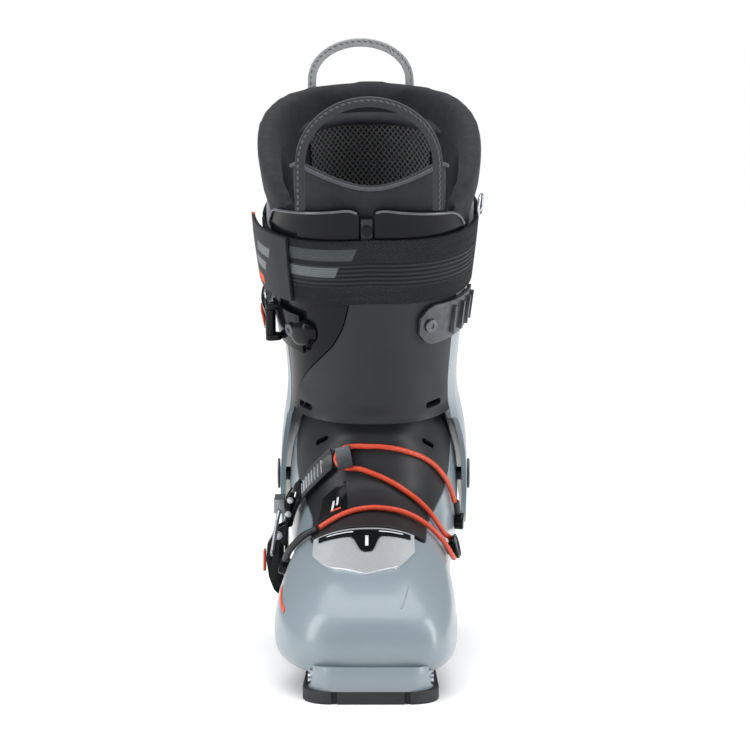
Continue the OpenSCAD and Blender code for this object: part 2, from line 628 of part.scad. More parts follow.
buckle_y = -110;
lower_hinge = [-54, buckle_y, 72];
lower_bail_hinge = [-57.5, buckle_y, 61];
hook = [9.75, -17];
pulley = [7.3, 68];
hook_pt = shell_pt(hook[0], hook[1], -2.6);
pulley_pt = shell_pt(pulley[0], pulley[1], -3);
module along_y(p, from, to, r) {
    translate([p[0], p[1] + from, p[2]]) rotate([-90, 0, 0]) cylinder(r = r, h = to - from);
}
cheek = [[-50, 57], [-49.8, 92], [-47, 97], [-44.9, 97], [-45.7, 92], [-47.4, 84], [-48.5, 76],
    [-48.5, 57]];
module lower_buckle_base() {
    color([0.1, 0.1, 0.11]) difference() {
        union() {
            translate([-50.2, buckle_y - 11.5, 56]) cube([2, 23, 19]);
            for (s = [-1, 1]) {
                hull() {
                    along_y(lower_hinge, s > 0 ? 8.5 : -11.5, s > 0 ? 11.5 : -8.5, 3);
                    translate([-50.2, buckle_y + (s > 0 ? 8.5 : -11.5), 66]) cube([1, 3, 12]);
                }
                translate([0, buckle_y + (s > 0 ? 11.5 : -8.5), 0]) rotate([90, 0,
                    0]) linear_extrude(3) polygon(cheek);
            }
        }
        along_y(lower_hinge, -20, 20, pin_r);
    }
}
// Heads of the rivets that hold the ladder strap between the cheeks
module buckle_rivets() {
    color("silver") for (s = [-1, 1]) for (at = [[-46.9, 92.5], [-48.1, 84.5]])
        along_y([at[0], buckle_y, at[1]], s > 0 ? 11.5 : -12.4, s > 0 ? 12.4 : -11.5, 1.9);
}
module lower_buckle_pin() {
    color("silver") {
        along_y(lower_hinge, -11.5, 11.5, pin_r);
        for (s = [-1, 1]) along_y(lower_hinge, s > 0 ? 11.5 : -12.2, s > 0 ? 12.2 : -11.5, 2.6);
    }
}
lever_profile = [[-57.2, 72], [-60.4, 66], [-61, 57], [-59.5, 47], [-56.6, 39.5], [-54, 37],
    [-51.8, 38.5],
    [-50.8, 44], [-50.8, 66], [-51.2, 70]];
module lower_lever() {
    color([0.09, 0.09, 0.1]) difference() {
        union() {
            along_y(lower_hinge, -8.2, 8.2, 3);
            translate([0, buckle_y + 8, 0]) rotate([90, 0,
                0]) linear_extrude(16) polygon(lever_profile);
        }
        along_y(lower_hinge, -20, 20, pin_r + pin_gap);
        along_y(lower_bail_hinge, -20, 20, wire_r + pin_gap);
    }
}
module lower_lever_clip() {
    color([0.8, 0.2, 0.13]) translate([-62.9, buckle_y - 5, 50]) cube([1.7, 10, 12]);
}
module lower_bail() {
    color("silver") for (s = [-1, 1]) sweep([for (p = [[0, 4, 0], [0, 9, 0], [0, 12.8, 0],
        [0, 13.8, 1], [0.6, 13.8, 4],
        [3, 13.8, 20], [4.5, 13.8, 26]]) lower_bail_hinge + [p[0], s * p[1], p[2]]], wire_r);
    color([0.3, 0.3, 0.31]) difference() {
        translate(lower_bail_hinge + [1.2, -12.6, 24]) cube([6, 25.2, 8]);
        for (z = [26:2:31]) translate(lower_bail_hinge + [0.6, -13, z]) cube([1.4, 26, 0.8]);
    }
}
ladder_path = [[9.85, -26, 0.66], [9.5, -38, 0.66], [9.35, -50, 0.55], [9.25, -60, 0.41],
    [9.05, -70, 0.38]];
ladder_profile = [[-1, -6.1], [-0.76, -6.1], [-0.68, -4.4], [0, -4.4], [0.68, -4.4], [0.76, -6.1],
    [1, -6.1]];
function ladder_at(t) = let (v = t * (len(ladder_path) - 1)) row_at(ladder_path, v);
module ladder_strap() {
    ts = steps(0, 1, 40);
    tooth = function (i, k) i % 3 == 1 && i > 6 && k > 1 && k < 5 ? -1.3 : 0;
    at = function (i, w, inset) let (q = ladder_at(ts[i])) shell_pt(q[0] + w * q[2], q[1], inset);
    color([0.28, 0.28, 0.3]) skin(
        [for (i = [0:40]) [for (k = [0:6]) at(i, ladder_profile[k][0],
            ladder_profile[k][1] + tooth(i, k))]],
        [for (i = [0:40]) [for (k = [0:6]) at(i, ladder_profile[k][0], -2.2)]], whole);
}
module ladder_hook() {
    color("gray") on_shell(hook[0], hook[1], -1.2) {
        cylinder(r = 3.6, h = 1);
        cylinder(r = 2.6, h = 5);
        translate([-4.5, -6.5, 4.3]) cube([9, 13, 1.2]);
        translate([-8, -3.5, -0.3]) cube([6, 7, 0.7]);
    }
}
module cable_pulley() {
    color([0.1, 0.1, 0.11]) on_shell(pulley[0], pulley[1], -0.3) {
        cylinder(r = 3.5, h = 6);
        translate([0, 0, 4.9]) cylinder(r = 7, h = 1.6);
    }
}
out_anchor = [6.75, -74];
in_anchor = [10.1, 82];
module cable_anchors() {
    color([0.1, 0.1, 0.11]) for (a = [out_anchor, in_anchor]) on_shell(a[0], a[1],
        -0.3) cylinder(r = 5, h = 5.6);
}
// Middle line of the cable, from the inner sleeve over the instep, round the hook, back to the pulley
// and over the toes to the outer sleeve
cable_route = [
    [49, -93.5, 88], [47, -99.5, 95], [41, -112.5, 107.5], [33.5, -120.5, 115.5],
    [21, -129, 122], [8, -132.5, 125], [-3, -133, 125.5], [-10, -132.5, 125.5],
    [-16.5, -131.5, 124], [-20, -132, 120], [-19.5, -133.5, 116], [-15, -136, 113.5],
    [-7, -137, 113], [-0.5, -138, 111], [10, -138.5, 106.5], [20, -140, 100.5],
    [30.5, -140.5, 92], [38, -140, 82.5], [42.5, -138, 75.5], [45.4, -133, 72.5],
    [46.4, -128.6, 69], [47.3, -128.3, 65], [48.1, -132, 61.2], [47.7, -138.5, 61.5],
    [47, -146, 63.5], [44, -153.5, 69.5], [40, -158.5, 76], [32, -161, 84], [21, -161.5, 90.5],
    [8.5, -161, 93.5], [-4, -161, 93.5], [-15, -164, 91], [-24, -169, 87], [-29.3, -171.6, 83.8]
];
out_sleeve = [
    [-30.4, -172, 83.2], [-37.5, -170, 79.5], [-43, -164.5, 74], [-47, -157, 68],
    [-49, -150, 62.5]
];
in_sleeve = [
    [50, -93.5, 88], [50.5, -90.5, 84.5], [51, -87.5, 81]
];
module lace_cable() {
    color([0.88, 0.3, 0.2]) sweep(curve(cable_route, 2), cable_r);
}
module cable_sleeves() {
    color([0.08, 0.08, 0.08]) for (s = [out_sleeve, in_sleeve]) sweep(curve(s, 2), cable_r + 0.6);
}

// ---- Walk lock at the back ----

catch_pin_y = 20;
module heel_catch() {
    color("dimgray") difference() {
        translate([-catch_w / 2, 0, 0]) rotate([90, 0, 90]) linear_extrude(catch_w)
            polygon([[3.6, 95], [3.6, 113], [18, 114], [24, 108], [24, 102], [18, 98]]);
        across(catch_pin_y, 106, 2.1, -10, 10);
    }
}
lock_hinge = cuff_pt(64, 180, -11);
lock_y = lock_hinge[1];
lock_z = lock_hinge[2];
prong_in = catch_w / 2 + 1.5;
module lock_bar() {
    color("silver") difference() {
        union() {
            for (s = [-1, 1]) translate([s > 0 ? prong_in : -prong_in - 3.5, 0, 0]) rotate([90, 0,
                90]) linear_extrude(3.5) hull() {
                translate([lock_y, lock_z]) circle(4);
                translate([21, 113]) circle(3.2);
            }
            translate([-prong_in - 3.5, 0, 0]) rotate([90, 0,
                90]) linear_extrude(2 * prong_in + 7) hull() {
                translate([lock_y, lock_z]) circle(4);
                translate([lock_y + 5, lock_z - 16]) circle(3);
            }
        }
        across(lock_y, lock_z, 2 + pin_gap, -20, 20);
    }
}
lug = [9.2, 12.2];
walk_hinge = cuff_pt(116, 180, -11);
module lugs(y, z, foot) {
    for (s = [-1, 1]) translate([s > 0 ? lug[0] : -lug[1], 0, 0]) rotate([90, 0,
        90]) linear_extrude(lug[1] - lug[0]) hull() {
        translate([y, z]) circle(3.6);
        translate([y - 4.6, z + foot]) circle(1.3);
        translate([y - 4.6, z - foot]) circle(1.3);
    }
}
module lock_bar_pin() {
    color("silver") across(lock_y, lock_z, 2, -lug[1], lug[1]);
}
module walk_lever_pin() {
    color("silver") across(walk_hinge[1], walk_hinge[2], 2, -lug[1], lug[1]);
}
module walk_bracket() {
    color([0.12, 0.12, 0.13]) difference() {
        union() {
            cuff_patch(function (u) 58, function (u) 122, function (h) 168, function (h) 192,
                fitting_out + 0.3, fitting_in, 8, 4);
            lugs(lock_y, lock_z, 4);
            lugs(walk_hinge[1], walk_hinge[2], 4);
        }
        across(lock_y, lock_z, 2, -20, 20);
        across(walk_hinge[1], walk_hinge[2], 2, -20, 20);
    }
}
module walk_lever() {
    color([0.12, 0.12, 0.13]) difference() {
        union() {
            cuff_patch(function (u) 74, function (u) 113, function (h) 173.5, function (h) 186.5,
                fitting_out - 6.6, fitting_out - 3.6, 8, 4);
            across(walk_hinge[1], walk_hinge[2], 3.2, -lug[0] + 0.4, lug[0] - 0.4);
        }
        across(walk_hinge[1], walk_hinge[2], 2 + pin_gap, -20, 20);
    }
}

lower_shell();
toe_lip();
toe_inserts();
toe_sole();
heel_sole();
heel_block();
heel_insert();
heel_insert_screws();
boot_board();
footbed();
liner_foot();
tongue();
instep_plate();
instep_badge();
pivot_bolts();
cable_anchors();
cable_pulley();
cable_sleeves();
lace_cable();
ladder_hook();
ladder_strap();
lower_buckle_base();
buckle_rivets();
lower_buckle_pin();
heel_catch();
cuff_rear();
cuff_front();
cuff_flap();
left_wing();
right_wing();
wing_rivet();
power_strap();
strap_tab();
strap_ring();
ladder_rack();
cuff_screws();
upper_buckle_base();
upper_buckle_pin();
liner_cuff();
liner_tongue();
front_loop();
rear_loop();
upper_lever();
upper_lever_clip();
upper_bail();
lower_lever();
lower_lever_clip();
lower_bail();
walk_bracket();
walk_lever();
walk_lever_pin();
lock_bar();
lock_bar_pin();
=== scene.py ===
import math

import bmesh
import bpy
from mathutils import Matrix, Vector


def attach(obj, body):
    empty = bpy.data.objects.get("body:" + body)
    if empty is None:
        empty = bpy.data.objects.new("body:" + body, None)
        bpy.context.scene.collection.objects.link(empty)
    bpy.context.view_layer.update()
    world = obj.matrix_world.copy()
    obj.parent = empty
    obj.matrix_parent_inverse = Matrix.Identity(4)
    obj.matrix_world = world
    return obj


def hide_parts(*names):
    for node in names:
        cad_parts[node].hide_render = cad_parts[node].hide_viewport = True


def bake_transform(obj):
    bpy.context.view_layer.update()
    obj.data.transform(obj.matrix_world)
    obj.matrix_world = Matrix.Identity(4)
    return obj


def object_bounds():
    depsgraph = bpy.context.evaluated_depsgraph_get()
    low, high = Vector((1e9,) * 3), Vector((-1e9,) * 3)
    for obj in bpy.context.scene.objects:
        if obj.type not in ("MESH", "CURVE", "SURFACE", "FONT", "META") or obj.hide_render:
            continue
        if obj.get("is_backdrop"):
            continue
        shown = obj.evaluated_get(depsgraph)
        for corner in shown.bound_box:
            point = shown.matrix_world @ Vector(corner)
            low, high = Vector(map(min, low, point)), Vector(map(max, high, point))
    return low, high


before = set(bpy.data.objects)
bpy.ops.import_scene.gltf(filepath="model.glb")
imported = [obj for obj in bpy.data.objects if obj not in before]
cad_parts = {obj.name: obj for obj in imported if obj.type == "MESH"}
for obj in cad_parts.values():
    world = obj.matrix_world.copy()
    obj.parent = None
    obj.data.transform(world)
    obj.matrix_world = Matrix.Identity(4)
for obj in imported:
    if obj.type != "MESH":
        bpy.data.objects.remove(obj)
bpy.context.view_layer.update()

# ---- The view: a long lens a little above the boot, looking at its toe
# The boot stands on white paper in a bright room, as for a shop picture. A soft light from overhead
# keeps the paper white, and one tall softbox on each side draws the highlights.

MM = 0.001
EYE_DISTANCE = 2.2
EYE_HEIGHT = math.radians(6)
AIM = Vector((0.0023, -0.115, 0.165))
SENSOR_MM = 36
VIEW_WIDTH = 0.435
AMBIENT = 0.22
SUN_POWER, SUN_SPREAD = 2.9, math.radians(70)
CLOCK = [math.radians(k * 30) for k in range(12)]
lens = bpy.data.cameras.new("camera")
lens.sensor_width = SENSOR_MM
lens.lens = SENSOR_MM * EYE_DISTANCE / VIEW_WIDTH
camera = bpy.data.objects.new("camera", lens)
bpy.context.collection.objects.link(camera)
camera.location = AIM + EYE_DISTANCE * Vector((0, -math.cos(EYE_HEIGHT), math.sin(EYE_HEIGHT)))
camera.rotation_euler = (AIM - camera.location).to_track_quat("-Z", "Y").to_euler()
bpy.context.scene.camera = camera
bpy.context.scene.view_settings.view_transform = "Standard"


def to_linear(code):
    """Linear colour with alpha from an sRGB hex code."""
    parts = [int(code[i:i + 2], 16) / 255 for i in (1, 3, 5)]
    return [p / 12.92 if p <= 0.04045 else ((p + 0.055) / 1.055) ** 2.4 for p in parts] + [1]


def add(mat, kind, inputs=(), **settings):
    """Adds a shader node. An input's value is a number, a colour or another node's socket."""
    made = mat.node_tree.nodes.new("ShaderNode" + kind)
    for name, value in settings.items():
        setattr(made, name, value)
    for name, value in dict(inputs).items():
        if isinstance(value, bpy.types.NodeSocket):
            mat.node_tree.links.new(value, made.inputs[name])
        else:
            made.inputs[name].default_value = value
    return made


def new_material(name):
    mat = bpy.data.materials.new(name)
    mat.use_nodes = True
    mat.node_tree.nodes.clear()
    return mat


def surface(mat, **inputs):
    """The shader and the output of a material, with the sockets written as words."""
    shader = add(mat, "BsdfPrincipled", {name.replace("_", " "): value for name, value in inputs.items()})
    add(mat, "OutputMaterial", {"Surface": shader.outputs[0]})
    return mat


def grain(mat, size_mm, depth_mm, detail=3):
    """A normal with a fine uneven relief, size_mm across and depth_mm deep."""
    place = add(mat, "TexCoord")
    noise = add(mat, "TexNoise", {"Vector": place.outputs["Object"], "Scale": 1 / (size_mm * MM),
                                  "Detail": detail})
    relief = add(mat, "Bump", {"Height": noise.outputs[0], "Distance": depth_mm * MM, "Strength": 1})
    return relief.outputs[0]


def clouded(mat, dark, light, size_mm):
    """A colour that drifts between two close shades, as a moulding or a dyed cloth does."""
    place = add(mat, "TexCoord")
    noise = add(mat, "TexNoise", {"Vector": place.outputs["Object"], "Scale": 1 / (size_mm * MM),
                                  "Detail": 4})
    mix = add(mat, "Mix", {"Factor": noise.outputs[0]}, data_type="RGBA")
    mix.inputs[6].default_value = to_linear(dark)
    mix.inputs[7].default_value = to_linear(light)
    return mix.outputs[2]


def backdrop_paper():
    """Seamless white paper: dull and almost without grain."""
    mat = new_material("backdrop_paper")
    return surface(mat, Base_Color=clouded(mat, "#f4f4f4", "#fbfbfb", 300), Roughness=0.9,
                   Normal=grain(mat, 2, 0.02))


bpy.ops.mesh.primitive_plane_add(size=8)
floor = bpy.context.object
floor.name = "floor"
floor.data.materials.append(backdrop_paper())
floor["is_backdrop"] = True


def softbox(name, place, aim, size, power):
    light = bpy.data.lights.new(name, "AREA")
    light.shape, light.size, light.size_y, light.energy = "RECTANGLE", size[0], size[1], power
    made = bpy.data.objects.new(name, light)
    bpy.context.collection.objects.link(made)
    made.location = place
    made.rotation_euler = (Vector(aim) - Vector(place)).to_track_quat("-Z", "Y").to_euler()


softbox("left_box", (-1.15, -0.7, 0.7), (0, -0.1, 0.15), (0.45, 1.3), 13)
softbox("right_box", (1.2, -0.5, 0.6), (0, -0.1, 0.15), (0.4, 1.2), 12)
softbox("front_box", (-0.3, -1.7, 1.9), (0, -0.12, 0.1), (1.5, 1.0), 3.5)
overhead = bpy.data.lights.new("overhead", "SUN")
overhead.energy, overhead.angle = SUN_POWER, SUN_SPREAD
overhead_light = bpy.data.objects.new("overhead", overhead)
bpy.context.collection.objects.link(overhead_light)
world = bpy.data.worlds.new("studio")
world.use_nodes = True
sky = world.node_tree
ray = sky.nodes.new("ShaderNodeLightPath")
level = sky.nodes.new("ShaderNodeMapRange")
level.inputs["To Min"].default_value = AMBIENT
level.inputs["To Max"].default_value = 1.0
sky.links.new(ray.outputs["Is Camera Ray"], level.inputs["Value"])
sky.nodes["Background"].inputs[0].default_value = (1, 1, 1, 1)
sky.links.new(level.outputs[0], sky.nodes["Background"].inputs[1])
bpy.context.scene.world = world

# ---- Lower shell
# The foot half of the boot: one glossy blue-grey injection moulding of polyurethane, 4 mm thick, open
# over the instep where the tongue closes it. A faint line is moulded down the inner side of the toe.

# bottom y, z, top y, z, half-widths outside and inside, widest at, roundness below and above
SHELL_ROWS = [
    (-262, 26, -262, 33, 10, 16, 0.45, 2.4, 2.4), (-260, 18, -259, 45, 25, 31, 0.42, 2.6, 2.5),
    (-253, 13, -250, 55, 38, 40, 0.38, 2.9, 2.6), (-240, 11, -235, 63, 47, 45, 0.36, 3.1, 2.5),
    (-218, 10, -212, 71, 53, 48, 0.34, 3.2, 2.4), (-190, 10, -186, 81, 54, 48.5, 0.33, 3.2, 2.3),
    (-160, 11, -163, 90, 51, 47.5, 0.34, 3.2, 2.3), (-128, 12, -147, 97, 47, 46, 0.37, 3.2, 2.2),
    (-95, 12, -138, 104, 45.5, 46.5, 0.42, 3, 2.2), (-60, 12, -135, 112, 45.5, 47, 0.46, 2.8, 2.2),
    (-22, 12, -132, 121, 46.5, 49, 0.5, 2.6, 2.2), (16, 16, -128.5, 130, 48.5, 51, 0.54, 2.4, 2.2),
    (28, 42, -124.5, 139, 48.5, 51.5, 0.55, 2.3, 2.2), (15, 68, -120, 146, 47, 50.5, 0.54, 2.2, 2.2),
    (3, 92, -115, 152, 43.5, 47, 0.51, 2.2, 2.2), (2, 120, -109, 158, 40, 42.5, 0.5, 2.2, 2.2)]


def lerp(a, b, t):
    return a + (b - a) * t


def spread(a, b, count):
    """count + 1 even steps from a to b."""
    return [lerp(a, b, i / count) for i in range(count + 1)]


def between(x, table):
    """Straight lines between the (x, value) pairs of a table."""
    if x <= table[0][0]:
        return table[0][1]
    for (x0, y0), (x1, y1) in zip(table, table[1:]):
        if x <= x1:
            return lerp(y0, y1, (x - x0) / (x1 - x0))
    return table[-1][1]


def smooth(x, low, high):
    t = min(1, max(0, (x - low) / (high - low)))
    return t * t * (3 - 2 * t)


def row_at(rows, v):
    """Catmull-Rom row of a table at the fractional row v."""
    last = len(rows) - 1
    i = min(max(math.floor(v), 0), last - 1)
    f = v - i
    near = [rows[max(0, min(last, i + k))] for k in (-1, 0, 1, 2)]
    return [0.5 * (2 * b + (c - a) * f + (2 * a - 5 * b + 4 * c - d) * f * f
                   + (3 * b - a - 3 * c + d) * f ** 3)
            for a, b, c, d in zip(*near)]


def section(low, top, w_out, w_in, wide, n_low, n_top, u, inset):
    """A point of a cross-section. u is 0 at the top or front, 90 inside, 180 below or behind."""
    span = top - low
    c, s = math.cos(math.radians(u)), math.sin(math.radians(u))
    n = n_top if c > 0 else n_low
    reach = span.length * (1 - wide if c > 0 else wide) - inset
    half = (w_in if s > 0 else w_out) - inset
    k = (abs(c) ** n + abs(s) ** n) ** (-1 / n)
    at = low + span * wide + span.normalized() * reach * c * k
    return Vector((half * s * k, at.x, at.y)) * MM


def shell_pt(v, u, inset=0.0):
    r = row_at(SHELL_ROWS, v)
    return section(Vector(r[0:2]), Vector(r[2:4]), *r[4:9], u, inset)


TONGUE_FROM = 5.3
OPEN_COLS = 5
SHELL_COLS = 44


def tongue_half(v):
    return between(v, [(5.3, 38), (6, 40), (7, 44), (8, 49), (9, 54), (10, 58), (12, 62), (15, 70)])


def shell_u(v, j):
    """Angle of column j at row v: the first and last columns follow the edge of the tongue opening."""
    edge = lerp(30, 38, v / TONGUE_FROM) if v < TONGUE_FROM else tongue_half(v)
    back = SHELL_COLS - j
    if j <= OPEN_COLS:
        return edge * j / OPEN_COLS
    if back <= OPEN_COLS:
        return 360 - edge * back / OPEN_COLS
    return lerp(edge, 360 - edge, (j - OPEN_COLS) / (SHELL_COLS - 2 * OPEN_COLS))


def cage(name, grid, ring=False, keep=None, cap=False, uv=None):
    """A coarse mesh of quads through a grid of points. uv is each point's place on the cloth."""
    rows, cols = len(grid), len(grid[0])
    cells = [(i, j) for i in range(rows - 1)
             for j in range(cols if ring else cols - 1) if keep is None or keep(i, j)]
    faces = [(i * cols + j, i * cols + (j + 1) % cols, (i + 1) * cols + (j + 1) % cols,
              (i + 1) * cols + j)
             for i, j in cells]
    if cap:
        faces.append(tuple(range(cols - 1, -1, -1)))
    mesh = bpy.data.meshes.new(name)
    mesh.from_pydata([p for row in grid for p in row], [], faces)
    if uv:
        flat = [q for row in uv for q in row]
        layer = mesh.uv_layers.new(name="cloth")
        for loop in mesh.loops:
            layer.data[loop.index].uv = flat[loop.vertex_index]
    made = bpy.data.objects.new(name, mesh)
    bpy.context.collection.objects.link(made)
    for face in mesh.polygons:
        face.use_smooth = True
    if keep:
        used = {k for f in faces for k in f}
        work = bmesh.new()
        work.from_mesh(mesh)
        work.verts.ensure_lookup_table()
        bmesh.ops.delete(work, geom=[v for v in work.verts if v.index not in used], context="VERTS")
        work.to_mesh(mesh)
        work.free()
    return made


def thicken(piece, wall_mm, edge_mm=0.5, levels=2):
    """Rounds a cage, gives it its wall and breaks the sharp edges of the wall."""
    if levels:
        subdivide = piece.modifiers.new("rounded", "SUBSURF")
        subdivide.levels = subdivide.render_levels = levels
        subdivide.boundary_smooth = "PRESERVE_CORNERS"
    wall = piece.modifiers.new("wall", "SOLIDIFY")
    wall.thickness, wall.offset = wall_mm * MM, -1
    if edge_mm:
        edge = piece.modifiers.new("edge", "BEVEL")
        edge.width, edge.segments, edge.limit_method = edge_mm * MM, 3, "ANGLE"
        edge.angle_limit, edge.harden_normals = math.radians(50), True
    return piece


def belongs(piece, body, slot, *nodes):
    """The piece moves with the body and stands for the CAD nodes, which it hides; the slot is not used."""
    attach(piece, body)
    if nodes:
        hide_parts(*nodes)
    return piece


def make_up(piece, mat, wall_mm, edge_mm, body, slot, *nodes, levels=1):
    """Gives a cage its material, its wall and its owner."""
    piece.data.materials.append(mat)
    thicken(piece, wall_mm, edge_mm, levels=levels)
    belongs(piece, body, slot, *nodes)


def shell_plastic():
    """Injection-moulded polyurethane, polished: a wet gloss with small scuffs."""
    mat = new_material("glossy_shell_plastic")
    place = add(mat, "TexCoord")
    scuff = add(mat, "TexNoise", {"Vector": place.outputs["Object"], "Scale": 30, "Detail": 3,
                                  "Roughness": 0.5})
    dull = add(mat, "MapRange", {"Value": scuff.outputs[0], "From Min": 0.35, "From Max": 0.75,
                                 "To Min": 0.36, "To Max": 0.46})
    return surface(mat, Base_Color=clouded(mat, "#76828a", "#808c94", 60), Roughness=dull.outputs[0],
                   Coat_Weight=0.45, Coat_Roughness=0.17, Specular_IOR_Level=0.5)


blue_grey = shell_plastic()
SHELL_V = spread(0, 5.3, 26) + spread(5.3, 15, 26)[1:]


def toe_line(v, u):
    """How far the moulded line and the instep ridge stand out, in millimetres."""
    line = math.exp(-((u - 22 - 1.2 * v) / 2.2) ** 2) * smooth(v, 1.4, 2.2) * (1 - smooth(v, 4.2, 5.0))
    ridge = smooth(v, 2.4, 3.4) * (1 - smooth(abs(u if u < 180 else u - 360), 30, 44)) * (1
                                                                                          - smooth(v, 5.0,
                                                                                                   5.3))
    return 0.5 * line + 0.9 * ridge


shell = cage("lower_shell_visual",
             [[shell_pt(v, shell_u(v, j), -toe_line(v, shell_u(v, j))) for j in range(SHELL_COLS)]
              for v in SHELL_V],
             ring=True, cap=True,
             keep=lambda i, j: SHELL_V[i] < TONGUE_FROM - 0.01 or OPEN_COLS <= j < SHELL_COLS - OPEN_COLS)
make_up(shell, blue_grey, 4, 0.8, "shell", "shell_plastic", "lower_shell")

# ---- Toe lip and the two steel toe sockets
# A ledge of the same plastic as the shell, moulded on below the toe, which a binding holds. A turned
# steel bush is pressed into each side for the pins of a touring binding.


def eased(node, body, slot, width_mm, finish, angle=32):
    """A merged copy of a plain CAD solid with its sharp edges broken, as a mould leaves them."""
    work = bmesh.new()
    work.from_mesh(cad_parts[node].data)
    bmesh.ops.remove_doubles(work, verts=work.verts, dist=0.000002)
    bmesh.ops.dissolve_limit(work, angle_limit=math.radians(0.6), verts=work.verts, edges=work.edges)
    mesh = bpy.data.meshes.new(node + "_eased")
    work.to_mesh(mesh)
    work.free()
    for face in mesh.polygons:
        face.use_smooth = True
    mesh.materials.append(finish)
    made = bpy.data.objects.new(node + "_eased", mesh)
    bpy.context.collection.objects.link(made)
    edge = made.modifiers.new("edge", "BEVEL")
    edge.width, edge.segments, edge.limit_method = width_mm * MM, 3, "ANGLE"
    edge.angle_limit, edge.harden_normals = math.radians(angle), True
    return belongs(made, body, slot, node)


def bright_steel(name="turned_steel", dark="#a9adb2", light="#c9ccd0", rough=0.26):
    """Turned and zinc-plated steel: clean, bright, with fine marks from the tool."""
    mat = new_material(name)
    place = add(mat, "TexCoord")
    marks = add(mat, "TexNoise", {"Vector": place.outputs["Object"], "Scale": 1400, "Detail": 2})
    dull = add(mat, "MapRange", {"Value": marks.outputs[0], "To Min": rough - 0.06,
                                 "To Max": rough + 0.12})
    return surface(mat, Base_Color=clouded(mat, dark, light, 3), Metallic=1, Roughness=dull.outputs[0],
                   Normal=grain(mat, 0.5, 0.01))


def dress(node, mat):
    """Gives a CAD node whose shape is right its finish."""
    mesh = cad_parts[node].data
    mesh.materials.clear()
    mesh.materials.append(mat)


steel = bright_steel()
eased("toe_lip", "shell", "shell_plastic", 1.1, blue_grey)
dress("toe_inserts", steel)

# ---- Rubber soles
# Lugged black rubber pads under the toes and the heel, moulded and bonded on. The toe pad carries two
# short drainage cuts at its front edge.


def sole_rubber():
    """Vulcanised carbon-black rubber: dull, dusty in patches, with a fine moulded grain."""
    mat = new_material("sole_rubber")
    place = add(mat, "TexCoord")
    dust = add(mat, "TexNoise", {"Vector": place.outputs["Object"], "Scale": 45, "Detail": 8,
                                 "Roughness": 0.75})
    tint = add(mat, "Mix", {0: dust.outputs[0], 6: to_linear("#101113"), 7: to_linear("#25262a")},
               data_type="RGBA")
    dull = add(mat, "MapRange", {"Value": dust.outputs[0], "To Min": 0.55, "To Max": 0.8})
    return surface(mat, Base_Color=tint.outputs[2], Roughness=dull.outputs[0],
                   Normal=grain(mat, 0.9, 0.12))


rubber = sole_rubber()
eased("toe_sole", "shell", "sole_rubber", 0.7, rubber)
eased("heel_sole", "shell", "sole_rubber", 0.7, rubber)

# ---- Heel block and its steel fitting
# The plastic block behind the heel is moulded with the shell. A forged plate with two slots for the
# heel pins of a binding is held on it by two countersunk screws.

eased("heel_block", "shell", "shell_plastic", 0.9, blue_grey)
eased("heel_insert", "shell", "steel", 0.25, steel)
dark_steel = bright_steel("oxidised_screw_steel", "#4c4f54", "#6a6d72", 0.34)
eased("heel_insert_screws", "shell", "steel", 0.2, dark_steel)

# ---- Boot board and footbed
# A stiff foam board lies on the floor of the shell. The footbed, a thin fabric-topped foam sole, lies
# in the liner on top of it.


def foam_board():
    """Cut closed-cell foam: dull grey with small pores."""
    mat = new_material("closed_cell_foam")
    place = add(mat, "TexCoord")
    pores = add(mat, "TexVoronoi", {"Vector": place.outputs["Object"], "Scale": 900})
    relief = add(mat, "Bump", {"Height": pores.outputs[0], "Distance": 0.0003, "Strength": 0.8})
    return surface(mat, Base_Color=clouded(mat, "#4a4c4e", "#5c5e60", 5), Roughness=0.9,
                   Normal=relief.outputs[0])


def knit_fabric(name, dark, light, pitch_mm=1.1, depth_mm=0.16):
    """Brushed knit laminated on foam: soft, dull, a pale nap. The loops are drawn coarse to show."""
    mat = new_material(name)
    place = add(mat, "TexCoord")
    loops = add(mat, "TexVoronoi", {"Vector": place.outputs["Object"], "Scale": 1 / (pitch_mm * MM)})
    relief = add(mat, "Bump", {"Height": loops.outputs[0], "Distance": depth_mm * MM, "Strength": 0.7,
                               "Normal":
                               grain(mat, 9, 0.5, 2)})
    nap = add(mat, "TexNoise", {"Vector": place.outputs["Object"], "Scale": 300, "Detail": 5})
    tint = add(mat, "Mix", {0: nap.outputs[0], 6: to_linear(dark), 7: to_linear(light)}, data_type="RGBA")
    return surface(mat, Base_Color=tint.outputs[2], Roughness=0.82, Normal=relief.outputs[0],
                   Sheen_Weight=0.06,
                   Sheen_Roughness=0.5, Specular_IOR_Level=0.2)


FLOOR_V = spread(3, 10, 10)


def lift(v):
    return between(v, [(1, 0), (3, 5), (10, 5), (12, 0)])


def shell_lifted(v, u, inset, up=0.0):
    """A point of the shell's section after its low end is raised by up millimetres."""
    r = row_at(SHELL_ROWS, v)
    return section(Vector((r[0], r[1] + up)), Vector(r[2:4]), *r[4:9], u, inset)


board = cage("boot_board_visual", [[shell_lifted(v, u, 4.4) for u in spread(142, 218, 10)]
                                   for v in FLOOR_V])
make_up(board, foam_board(), 4.2, 0.6, "shell", "panel_plastic", "boot_board")
inside_grey = knit_fabric("brushed_lining", "#191a1c", "#232427")
sole_bed = cage("footbed_visual", [[shell_lifted(v, u, 12.9, lift(v)) for u in spread(146, 214, 10)]
                                   for v in FLOOR_V])
make_up(sole_bed, inside_grey, 2.5, 0.6, "shell", "liner_fabric", "footbed")

# ---- Liner foot
# The foot half of the removable inner boot: foam laminated between a woven face and a brushed lining,
# heat-formed into a sock 6.5 mm thick.

